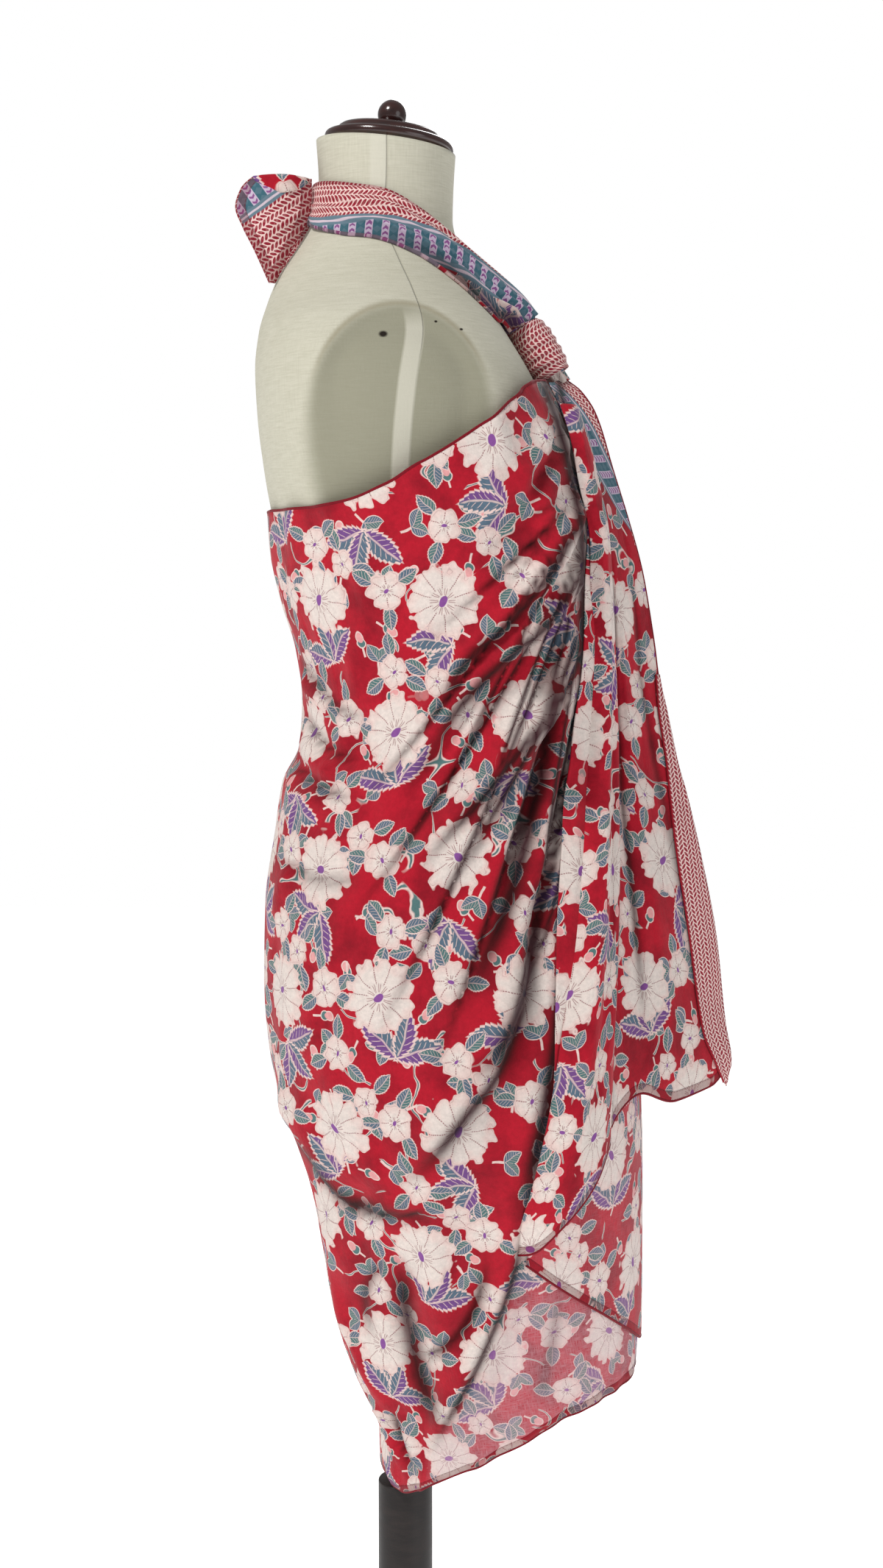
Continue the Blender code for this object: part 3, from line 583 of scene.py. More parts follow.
def motifPlace(tree, place, cell, motif):
    # Splits the cloth into cells; each cell's motif has its own place, turn and chance
    inputs = {0: place, 1: (1 / cell[0], 1 / cell[1], 1.0), 2: (*motif["shift"], 0.0)}
    scaled = addNode(tree, "ShaderNodeVectorMath", inputs, operation="MULTIPLY_ADD").outputs[0]
    sideways, up = xyz(tree, scaled)[:2]
    row = up.node("FLOOR")
    across = sideways + (row * 0.5).fract()
    column = across.node("FLOOR")
    spot = addNode(tree, "ShaderNodeCombineXYZ", {0: column, 1: row, 2: motif["key"]}).outputs[0]
    chance = addNode(tree, "ShaderNodeTexWhiteNoise", {"Vector": spot}, noise_dimensions="3D")
    random = addNode(tree, "ShaderNodeSeparateColor", {0: chance.outputs["Color"]})
    first, second, third = (Wire(tree, socket) for socket in random.outputs)
    reach = motif["jitter"]
    x = (across - column - 0.5) * cell[0] + first.scaled(reach, -reach / 2)
    y = (up - row - 0.5) * cell[1] + second.scaled(reach, -reach / 2)
    inputs = {
        "Vector": addNode(tree, "ShaderNodeCombineXYZ", {0: x, 1: y}).outputs[0],
        "Angle": third * (2 * math.pi),
    }
    turned = addNode(tree, "ShaderNodeVectorRotate", inputs, rotation_type="Z_AXIS")
    x, y = xyz(tree, turned.outputs[0])[:2]
    return x, y, first


def paintFlower(tree, colour, x, y, flower, wobble):
    # Petals with a light outline, fine dark lines between them, stamens and a purple middle
    looks = printLooks
    shape = flowerShape
    blur = looks["blur"]
    radius = flower["radius"]
    petalStep = math.pi / flower["petals"]
    reach = (x * x + y * y).root()
    turn = y.node("ARCTAN2", x)
    edge = (turn * (0.5 / petalStep)).fract().away(0.5) * 2
    scallop = (edge * edge).reverse().root() * (radius * shape["scallop"])
    rim = scallop + wobble.scaled(radius * shape["wobble"], radius * shape["rim"])
    colour = mixColour(tree, reach.below(rim + shape["outline"], blur * 2), colour, looks["outline"])
    fill = reach.below(rim, blur)
    depth, soft, share = shape["warmEdge"]
    warm = mixColour(tree, (reach - rim).above(-depth, soft) * share, looks["petal"], looks["petalWarm"])
    colour = mixColour(tree, fill, colour, warm)
    gap = edge.reverse() * reach * petalStep
    dots = (reach * (1 / shape["dot"])).fract().below(0.70, 0.30)
    lines = gap.below(shape["petalLine"], blur) * reach.above(radius * shape["petalLineStart"], blur) * dots
    half = edge.away(shape["stamenPlace"]) * reach * petalStep
    start, end = shape["stamens"]
    stamens = half.below(shape["stamenLine"], blur) * reach.below(radius * end, 0.0012)
    lines = lines.most(stamens * reach.above(radius * start, blur))
    width, share = shape["rimLine"]
    lines = lines.most(reach.away(rim).below(width, blur) * share)
    colour = mixColour(tree, lines * fill * shape["lineShare"], colour, looks["line"])
    middle = (x * x + y * y * shape["middleSquash"]).root().below(radius * shape["middle"], blur)
    return mixColour(tree, middle, colour, looks["middle"])


def paintLeaves(tree, colour, along, across, first, second, width, serration):
    # One leaf with an outline, ribs and two tones; along runs from 0 at its stalk to 1 at its tip
    shape = leafShape
    side = across.size()
    teeth = (along * shape["teeth"]).fract() * serration - serration * 0.5
    gap = side - (along * along.reverse() * width + teeth)
    colour = mixColour(tree, gap.below(*shape["outline"]), colour, printLooks["outline"])
    fill = gap.below(0.0, shape["fill"])
    tones = mixColour(tree, across.above(*shape["toneEdge"]), first, second)
    colour = mixColour(tree, fill, colour, tones)
    ribs = ((along - side * shape["ribSlant"]) * shape["ribs"]).fract().below(*shape["ribWidth"])
    ribs = side.below(*shape["midrib"]).most(ribs * side.above(*shape["ribStart"]))
    ribs = ribs * gap.below(*shape["ribEnd"]) * fill
    return mixColour(tree, ribs * shape["ribShare"], colour, printLooks["outline"])


def sideLeaf(x, y, leaf):
    # Along and across a leaf that spreads to both sides of its stalk
    cosine = math.cos(leaf["spread"]) / leaf["length"]
    sine = math.sin(leaf["spread"]) / leaf["length"]
    side = y.size()
    return x * cosine + side * sine + leaf["start"], side * cosine - x * sine


def paintStems(tree, colour, place, uv):
    # Thin stems that wander between the motifs
    wander = noise(tree, place, stems["scale"], 1.0).away(0.5)
    where = noise(tree, uv, stems["breaks"], 0.0).above(0.50, 0.02)
    colour = mixColour(tree, wander.below(*stems["outline"]) * where, colour, printLooks["outline"])
    return mixColour(tree, wander.below(*stems["core"]) * where, colour, printLooks["teal"])


def paintBuds(tree, colour, place):
    # Buds in their calyx, on a short stalk
    looks = printLooks
    x, y, chance = motifPlace(tree, place, looks["budCell"], buds)
    present = chance.above(buds["missing"], 0.01)

    def oval(halfWidth, halfLength, up):
        return ((x * x) * (1 / halfWidth**2) + (up * up) * (1 / halfLength**2)).root()

    bud = oval(*buds["half"], y)
    calyx = oval(*buds["calyxHalf"], y + buds["half"][1])
    stalk = x.size().below(0.0008, 0.0004) * y.away(-0.0095).below(0.0045, 0.0004)
    outline = bud.node("MINIMUM", calyx).below(1.26, 0.10).most(stalk)
    colour = mixColour(tree, outline * present, colour, looks["outline"])
    colour = mixColour(tree, calyx.below(1.0, 0.1) * present, colour, looks["teal"])
    return mixColour(tree, bud.below(1.0, 0.1) * present, colour, looks["bud"])


def paintSprigs(tree, colour, place, flower, wobble):
    # A small flower with teal leaves round it
    looks = printLooks
    x, y = motifPlace(tree, place, looks["cell"], flower)[:2]
    reach = (x * x + y * y).root()
    leafStep = 2 * math.pi / sprigs["leaves"]
    turn = y.node("ARCTAN2", x) * (1 / leafStep)
    local = ((turn + 0.5).fract() - 0.5) * leafStep
    length = sprigs["length"]
    along = (reach * local.node("COSINE")).scaled(1 / length, -sprigs["start"] / length)
    across = reach * local.node("SINE") * (1 / length)
    leaf = (looks["teal"], looks["greyBlue"], sprigs["width"], sprigs["teeth"])
    colour = paintLeaves(tree, colour, along, across, *leaf)
    return paintFlower(tree, colour, x, y, flower, wobble)


def floralColour(tree):
    looks = printLooks
    uv = uvPlace(tree, "Cloth")
    shake = looks["wobble"]
    inputs = {0: noise(tree, uv, 95.0, 1.0, output="Color"), 1: (shake,) * 3, 2: (-shake / 2,) * 3}
    shaken = addNode(tree, "ShaderNodeVectorMath", inputs, operation="MULTIPLY_ADD").outputs[0]
    place = addNode(tree, "ShaderNodeVectorMath", {0: uv, 1: shaken}, operation="ADD").outputs[0]
    wobble = noise(tree, uv, 150.0, 0.0)
    # Red ground, uneven as a dyed cotton is
    mottle = noise(tree, uv, 22.0, 4.0, 0.6)
    colour = mixColour(tree, mottle.above(0.54, 0.22) * 0.85, looks["ground"], looks["groundDark"])
    colour = paintStems(tree, colour, place, uv)
    colour = paintBuds(tree, colour, place)
    # Little teal leaves in pairs on a short stalk
    x, y = motifPlace(tree, place, looks["littleCell"], littleLeaves)[:2]
    stalk = y.size().below(0.0009, 0.0004) * x.away(-0.0030).below(0.0070, 0.0006)
    colour = mixColour(tree, stalk, colour, looks["outline"])
    along, across = sideLeaf(x, y, littleLeaves)
    leaf = (looks["teal"], looks["greyBlue"], littleLeaves["width"], 0.0)
    colour = paintLeaves(tree, colour, along, across, *leaf)
    # Purple leaves, two to the sides of one
    x, y = motifPlace(tree, place, looks["cell"], leafFans)[:2]
    along, across = sideLeaf(x, y, leafFans)
    across = across + along * along.reverse() * leafFans["sideCurve"]
    leaf = (looks["greyBlue"], looks["purple"], leafFans["width"], leafFans["teeth"])
    colour = paintLeaves(tree, colour, along, across, *leaf)
    along = x * (1 / leafFans["length"]) - 0.02
    across = y * (1 / leafFans["length"]) + along * along.reverse() * leafFans["middleCurve"]
    leaf = (looks["purple"], looks["greyBlue"], leafFans["middleWidth"], leafFans["teeth"])
    colour = paintLeaves(tree, colour, along, across, *leaf)
    for flower in (lateFlower, middleFlower, smallFlower):
        colour = paintSprigs(tree, colour, place, flower, wobble)
    # Large flowers over everything
    x, y = motifPlace(tree, place, looks["cell"], bigFlower)[:2]
    colour = paintFlower(tree, colour, x, y, bigFlower, wobble)
    # Dye that took unevenly
    grain = noise(tree, uv, 300.0, 4.0, 0.75)
    inputs = {"Color": colour, "Value": grain.scaled(0.60, 0.70)}
    return addNode(tree, "ShaderNodeHueSaturation", inputs).outputs[0]


borderLooks = {
    "chevronRow": 0.0043,
    "chevronStep": 0.0037,
    "chevronEnd": 0.054,
    "stripeEnd": 0.060,
    "squareEnd": 0.081,
    "lastStripeEnd": 0.087,
    "squareStep": 0.0128,
    "hemDepth": 0.0075,
    "stitchStep": 0.0034,
    "markHalf": (0.38, 0.46),        # of a step and of a row
    "markLean": 0.90,
    "rowStart": 0.37,
    "squareHalf": 0.27,
    "barStart": 0.33,
    "barMarkStep": 0.0042,
    "squareMarkStep": 0.0070,
    "lineHalf": 0.13,
    "drift": 0.0010,
    "softEdge": 0.0004,
}


def borderColour(tree, inner):
    # Rows of slanting leaf marks, a double stripe, teal squares between lilac bars, and a double stripe
    looks = printLooks
    sizes = borderLooks
    uv = uvPlace(tree, "Border")
    along, away = xyz(tree, uv)[:2]
    away = away + noise(tree, uv, 90.0, 1.0).scaled(sizes["drift"], -sizes["drift"] / 2)

    rowPlace = away * (1 / sizes["chevronRow"])
    row = rowPlace.node("FLOOR")
    inRow = rowPlace - row - 0.5
    lean = (row * 0.5).fract() * 4.0 - 1.0
    step = along * (1 / sizes["chevronStep"]) + inRow * lean * sizes["markLean"] + row * sizes["rowStart"]
    mark = step.fract() - 0.5
    wide, high = sizes["markHalf"]
    shape = (mark * mark * (1 / wide**2) + inRow * inRow * (1 / high**2)).root()
    faded = noise(tree, uv, 420.0, 1.0).scaled(0.7, 0.62, clamp=True)
    chevron = mixColour(tree, shape.below(1.0, 0.22) * faded, looks["chevronGround"], looks["chevronMark"])

    fromMiddle = (along * (1 / sizes["squareStep"])).fract().away(0.5)
    leafRow = (away * (1 / sizes["barMarkStep"]) + fromMiddle * 2.0).fract().away(0.5)
    barMark = leafRow.below(0.22, 0.08) * fromMiddle.above(sizes["barStart"], 0.02)
    bar = mixColour(tree, barMark, looks["bar"], looks["barMark"])
    leafy = (away * (1 / sizes["squareMarkStep"])).fract().away(0.5) + fromMiddle * 1.4
    squareTone = mixColour(tree, leafy.below(0.42, 0.05) * 0.45, looks["square"], looks["stripe"])
    band = mixColour(tree, fromMiddle.below(sizes["squareHalf"], 0.03), bar, squareTone)

    def stripes(start, end):
        # Two lines with a light one between
        share = (away - start) * (1 / (end - start))
        lines = share.away(0.5).below(sizes["lineHalf"], 0.08)
        return mixColour(tree, lines, looks["stripe"], looks["stripeGap"])

    # From the inner side of the border out to its edge
    lastStripes = stripes(sizes["squareEnd"], sizes["lastStripeEnd"])
    colour = mixColour(tree, away.above(sizes["lastStripeEnd"], sizes["softEdge"]), lastStripes, inner)
    firstStripes = stripes(sizes["chevronEnd"], sizes["stripeEnd"])
    for end, part in (("squareEnd", band), ("stripeEnd", firstStripes), ("chevronEnd", chevron)):
        colour = mixColour(tree, away.below(sizes[end], sizes["softEdge"]), colour, part)
    return colour


clothLooks = {
    "roughness": 0.86,
    "sheen": 0.10,
    "specular": 0.18,
    "bump": (0.0016, 0.9),
    "hemShade": 0.48,
    "hemColour": paint(110, 10, 26),
    "stitchColour": paint(96, 18, 34),
    "stitchShare": 0.55,
    "creaseShadeColour": paint(66, 32, 42),
    "paleColour": paint(214, 176, 184),
    "threads": 1100.0,
    "threadStretch": 0.12,
}


def makeCloth(name, floral=True, border=False, plain=None):
    looks = clothLooks
    material, tree, shader = newMaterial(name)
    uv = uvPlace(tree, "Cloth")
    colour = floralColour(tree) if floral else plain
    if border:
        colour = borderColour(tree, colour)
    # The turned hem is two layers thick and painted darker as painted shade, with a row of stitches at its
    # inner edge
    hemAlong, hemAway = xyz(tree, uvPlace(tree, "Hem"))[:2]
    depth = borderLooks["hemDepth"]
    double = hemAway.below(depth, 0.0004)
    stitch = (hemAlong * (1 / borderLooks["stitchStep"])).fract().below(0.62, 0.1)
    stitch = stitch * hemAway.away(depth - 0.0008).below(0.0003, 0.0003)
    colour = mixColour(tree, double * looks["hemShade"], colour, looks["hemColour"])
    colour = mixColour(tree, stitch * looks["stitchShare"], colour, looks["stitchColour"])
    # Painted shade: the 'deep' tint darkens the cloth in its creases, pleat gaps and folds
    colour = mixColour(tree, tint(tree, "deep"), colour, looks["creaseShadeColour"], "MULTIPLY")
    # Where one thin layer hangs free, it is painted paler as painted light coming through, and the weave
    # shows
    thin = looks["threadStretch"]
    threads = noise(tree, stretched(tree, uv, (1.0, thin, 1.0)), looks["threads"], 1.0)
    threads = threads.most(noise(tree, stretched(tree, uv, (thin, 1.0, 1.0)), looks["threads"], 1.0))
    pale = tint(tree, "pale") * double.reverse() * threads.scaled(0.9, -0.22, clamp=True)
    colour = mixColour(tree, pale, colour, looks["paleColour"])
    # Small wrinkles, thread slubs and the step at the hem
    crumple = noise(tree, stretched(tree, uv, (1.0, 0.45, 1.0)), 55.0, 3.0, 0.55, 0.6)
    height = crumple + noise(tree, uv, 800.0, 1.0) * 0.12 + double * 0.35
    return finishMaterial(
        material,
        tree,
        shader,
        colour,
        height,
        looks["bump"],
        Roughness=looks["roughness"],
        Sheen_Weight=looks["sheen"],
        Specular_IOR_Level=looks["specular"],
    )


linenLooks = {
    "light": paint(210, 207, 190),
    "dark": paint(190, 187, 168),
    "plateShade": paint(140, 138, 118),
    "plateEdge": paint(140, 128, 98),
    "tape": paint(216, 213, 198),
    "seamLine": paint(150, 144, 122),
    "hole": paint(34, 26, 20),
    "holes": ((-0.0119, 1.3030, 0.0030), (0.0250, 1.3130, 0.0011), (0.0430, 1.3080, 0.0012)),
    "tapeWidth": 0.0125,
    "plateShare": 0.80,
    "plateEdgeShare": 0.40,
    "plateEdgeFrom": 1.285,
    "tapeShare": 0.70,
    "seamShare": 0.32,
    "bump": (0.0006, 0.8),
}


def makeLinen():
    looks = linenLooks
    material, tree, shader = newMaterial("linen cover")
    place = ownPlace(tree)
    slub = noise(tree, stretched(tree, place, (60.0, 60.0, 900.0)), 1.0, 2.0, 0.6)
    warp = noise(tree, stretched(tree, place, (900.0, 900.0, 70.0)), 1.0, 1.0, 0.5)
    tone = slub * 0.55 + warp * 0.25 + noise(tree, place, 9.0, 3.0) * 0.35
    colour = mixColour(tree, tone.above(0.60, 0.40), looks["light"], looks["dark"])
    x, y, z = xyz(tree, place)
    away, along = xyz(tree, uvPlace(tree, "Seam"))[:2]
    # Painted shade: the arm plate's hollow is darkened, as it lies in shade, and a brownish band follows its
    # upper rim
    plateShade = tint(tree, "plateShade")
    colour = mixColour(tree, plateShade * looks["plateShare"], colour, looks["plateShade"])
    edge = plateShade.away(0.45).below(0.22, 0.30) * z.above(looks["plateEdgeFrom"], 0.030)
    colour = mixColour(tree, edge * looks["plateEdgeShare"], colour, looks["plateEdge"])
    # The tape shows on the neck and down the side, only its seam crosses the shoulder
    shoulder = along.above(0.13, 0.03) * along.below(0.47, 0.06)
    half = looks["tapeWidth"] / 2
    tape = away.away(-half).below(half, 0.0022) * shoulder.reverse()
    colour = mixColour(tree, tape * looks["tapeShare"], colour, looks["tape"])
    lines = away.size().below(0.0005, 0.0006) * along.below(0.52, 0.10)
    colour = mixColour(tree, lines * looks["seamShare"], colour, looks["seamLine"])
    near = y.below(0.0, 0.01)
    for holeX, holeZ, radius in looks["holes"]:
        gapX = x - holeX
        gapZ = z - holeZ
        hole = (gapX * gapX + gapZ * gapZ * 1.8).root().below(radius, radius * 0.6)
        colour = mixColour(tree, hole * near, colour, looks["hole"])
    height = slub * 0.5 + warp * 0.3 - lines * 1.5 + tape * 0.6
    values = {"Roughness": 0.92, "Sheen_Weight": 0.08, "Specular_IOR_Level": 0.20}
    return finishMaterial(material, tree, shader, colour, height, looks["bump"], **values)


woodLooks = {"dark": paint(40, 16, 14), "light": paint(62, 26, 21), "bump": (0.0002, 0.5)}


def makeWood():
    material, tree, shader = newMaterial("dark varnished wood")
    grain = noise(tree, stretched(tree, ownPlace(tree), (70.0, 12.0, 260.0)), 1.0, 4.0, 0.6, 0.4)
    colour = mixColour(tree, grain.above(0.5, 0.35), woodLooks["dark"], woodLooks["light"])
    values = {"Roughness": 0.22, "Coat_Weight": 0.6, "Coat_Roughness": 0.12}
    return finishMaterial(material, tree, shader, colour, grain, woodLooks["bump"], **values)


metalLooks = {"dark": paint(27, 20, 19), "worn": paint(40, 31, 29), "bump": (0.00015, 0.5)}


def makeMetal():
    material, tree, shader = newMaterial("black stand")
    place = ownPlace(tree)
    wear = noise(tree, stretched(tree, place, (40.0, 40.0, 160.0)), 1.0, 4.0, 0.65)
    colour = mixColour(tree, wear.above(0.56, 0.25), metalLooks["dark"], metalLooks["worn"])
    height = noise(tree, place, 700.0, 2.0)
    rough = wear.scaled(0.25, 0.34)
    return finishMaterial(material, tree, shader, colour, height, metalLooks["bump"], Roughness=rough)


# The dress form

torsoForm = {
    "rings": (
        ("z", "back", "front", "half", "power", "tilt"),
        (1.4587, -0.0662, 0.0396, 0.0525, 2.0, -0.108),
        (1.43, -0.0645, 0.038, 0.0515, 2.0, -0.08),
        (1.408, -0.0665, 0.0375, 0.055, 2.0, -0.05),
        (1.393, -0.0745, 0.04, 0.062, 2.0, -0.02),
        (1.378, -0.0845, 0.0455, 0.074, 2.0, 0.0),
        (1.36, -0.096, 0.054, 0.09, 2.0, 0.0),
        (1.34, -0.104, 0.065, 0.113, 2.05, 0.0),
        (1.317, -0.11, 0.079, 0.142, 2.2, 0.0),
        (1.29, -0.1125, 0.095, 0.159, 2.3, 0.0),
        (1.255, -0.111, 0.113, 0.164, 2.3, 0.0),
        (1.215, -0.1065, 0.129, 0.16, 2.25, 0.0),
        (1.18, -0.1005, 0.136, 0.153, 2.25, 0.0),
        (1.13, -0.09, 0.127, 0.14, 2.2, 0.0),
        (1.08, -0.076, 0.114, 0.127, 2.15, 0.0),
        (1.03, -0.07, 0.105, 0.118, 2.1, 0.0),
        (0.99, -0.0725, 0.105, 0.119, 2.1, 0.0),
        (0.94, -0.084, 0.111, 0.133, 2.15, 0.0),
        (0.88, -0.097, 0.119, 0.154, 2.2, 0.0),
        (0.81, -0.101, 0.124, 0.167, 2.25, 0.0),
        (0.76, -0.095, 0.121, 0.166, 2.3, 0.0),
        (0.733, -0.086, 0.115, 0.16, 2.3, 0.0),
        (0.725, -0.078, 0.108, 0.152, 2.3, 0.0),
    ),
    "foot": 0.725,
    "footRings": (0.7300, 0.7270),
    "footReach": 0.004,
    "evenTo": 0.733,
    "ringCount": 260,
    "segments": 240,
    "plateCentre": (0.0, 1.228),
    "plateHalf": (0.068, 0.096),
    "plateDepth": 0.0105,
    "plateRim": 1.08,
    "plateFirm": (0.5, 0.32),
    "plateSide": (0.08, 0.09),
    # The seam down the neck, over the shoulder and down the side, in (x, z)
    "seam": (
        (-0.011, 1.462), (-0.0115, 1.425), (-0.014, 1.397), (-0.002, 1.365), (0.009, 1.338),
        (0.0165, 1.308), (0.011, 1.265), (0.0065, 1.21), (0.005, 1.1), (0.008, 0.9),
        (0.008, 0.72),
    ),
}


def pushOffTorso(points, clearance):
    # Points moved out, level, until they stand clear of the form
    ring = readTable(torsoForm["rings"], points[..., 2])
    centre = (ring["front"] + ring["back"]) / 2
    reach = (ring["front"] - ring["back"]) / 2 + clearance
    half = ring["half"] + clearance
    power = ring["power"]
    away = np.abs((points[..., 0] - centre) / reach) ** power + np.abs(points[..., 1] / half) ** power
    away = np.maximum(away, 1e-9)
    inside = (away < 1.0) & (points[..., 2] > torsoForm["foot"] - torsoForm["footReach"])
    grow = np.where(inside, away ** (-1.0 / power), 1.0)
    moved = points.copy()
    moved[..., 0] = centre + (points[..., 0] - centre) * grow
    moved[..., 1] = points[..., 1] * grow
    return moved


def makeTorso(material):
    form = torsoForm
    even = np.linspace(form["rings"][1][0], form["evenTo"], form["ringCount"])
    z = np.concatenate([even, form["footRings"], [form["foot"]]])
    ring = {key: value[:, None] for key, value in readTable(form["rings"], z).items()}
    turn = np.linspace(0.0, 2 * math.pi, form["segments"], endpoint=False)[None, :]
    centre = (ring["front"] + ring["back"]) / 2
    reach = (ring["front"] - ring["back"]) / 2
    x = centre + reach * roundPower(np.cos(turn), ring["power"])
    y = ring["half"] * roundPower(np.sin(turn), ring["power"])
    # The arm plates are shallow dishes, with a firmer edge at their top
    alongPlate = (x - form["plateCentre"][0]) / form["plateHalf"][0]
    upPlate = (ring["z"] - form["plateCentre"][1]) / form["plateHalf"][1]
    low, rise = form["plateFirm"]
    firm = low + rise * smoothStep(-0.2, 0.7, upPlate)
    rim = form["plateRim"]
    share = np.clip((rim - np.hypot(alongPlate, upPlate)) / (rim - firm), 0.0, 1.0)
    dish = form["plateDepth"] * smoothStep(0.0, 1.0, share) * smoothStep(*form["plateSide"], np.abs(y))
    y = y - np.sign(y) * dish
    level = ring["z"] + ring["tilt"] * (x - centre)
    torso = addLoft("form_torso", np.stack([x, y, level], axis=-1), material)
    # How far into the arm plate's hollow, for its painted shade
    hollow = smoothStep(0.0, 0.45, share) * smoothStep(*form["plateSide"], np.abs(y))
    writeTint(torso.data, "plateShade", hollow)
    # Distance from the seam on both sides of the form, for the tape and its stitching
    away, along = routeDistance(form["seam"], x, level)
    seamMap = np.stack([away.ravel(), along.ravel()], axis=-1)
    writeMap(torso.data, "Seam", seamMap[faceCorners(torso.data)])
    settle(torso, "torso")


standForm = {
    "poleTop": 0.414,
    "poleRadius": 0.0216,
    "rodRadius": 0.0125,
    "rodFoot": 0.300,
    "boreRound": 0.0010,
    "topRound": 0.0012,
    "baseRadius": 0.19,
    "baseHeight": 0.022,
    "baseMiddle": 0.0300,
    # How far in from the rim and down from the top the base's outline turns
    "baseEdge": ((0.030, 0.003), (0.008, 0.007), (0.001, 0.013), (0.000, 0.018), (0.002, 0.022)),
    "neckTop": 1.4587,
    "capCentreX": -0.0112,
    "capTilt": math.radians(6.2),
    # The cap's outline, as radius and height
    "cap": (
        (0.002, 0.015), (0.033, 0.0144), (0.0385, 0.013), (0.0402, 0.011), (0.0413, 0.0095),
        (0.045, 0.0085), (0.0482, 0.007), (0.0493, 0.0047), (0.0488, 0.0022), (0.0474, 0.0006),
        (0.0462, 0.0),
    ),
    "ballRadius": 0.0110,
    "ballSeat": 0.93,
    "ballFoot": ((0.0060, 0.0008), (0.0066, 0.0000)),
    "gap": 0.0003,
    "segments": 128,
    "sharpAngle": math.radians(38),
}


def turned(name, profile, material, place=Matrix.Identity(4), steps=1):
    # A turned piece, with its outline rounded between the given (radius, height) pairs where steps is over 1
    line = smoothRoute(profile, (len(profile) - 1) * steps + 1) if steps > 1 else profile
    turns = np.linspace(0.0, 2 * math.pi, standForm["segments"], endpoint=False)
    rings = []
    for radius, height in line:
        ring = [place @ Vector((radius * math.cos(turn), radius * math.sin(turn), height)) for turn in turns]
        rings.append([tuple(point) for point in ring])
    piece = addLoft(name, rings, material)
    piece.data.set_sharp_from_angle(angle=standForm["sharpAngle"])
    return piece


def makeStand(wood, metal):
    form = standForm
    gap = form["gap"]
    tilt = Matrix.Rotation(form["capTilt"], 4, "Y")
    place = Matrix.Translation((form["capCentreX"], 0.0, form["neckTop"] + gap)) @ tilt
    settle(turned("form_cap", form["cap"], wood, place, 6), "neck_cap")
    seat = form["cap"][0][1] + gap
    size = form["ballRadius"]
    middle = seat + size * form["ballSeat"]
    ball = []
    for angle in np.linspace(0.0, math.pi, 28)[1:24]:
        ball.append((size * math.sin(angle), middle + size * math.cos(angle)))
    ball += [(radius, seat + height) for radius, height in form["ballFoot"]]
    settle(turned("form_ball", ball, wood, place), "finial")
    rod = form["rodRadius"]
    inner = ((rod, torsoForm["foot"] - gap), (rod, form["rodFoot"]))
    settle(turned("stand_inner_rod", inner, metal), "stand_rod")
    bore = rod + gap
    outer = form["poleRadius"]
    top = form["poleTop"]
    rounding = form["topRound"]
    tube = (
        (bore, form["rodFoot"] - gap),
        (bore, top - form["boreRound"]),
        (bore + form["boreRound"], top),
        (outer - rounding, top),
        (outer - rounding / 3, top - rounding / 3),
        (outer, top - rounding),
        (outer, form["baseHeight"] + gap),
    )
    settle(turned("stand_tube", tube, metal), "pole")
    foot = [(form["baseMiddle"], form["baseHeight"])]
    foot += [(form["baseRadius"] - inward, form["baseHeight"] - down) for inward, down in form["baseEdge"]]
    settle(turned("stand_foot", foot, metal), "base")


# The wrap, all round the form

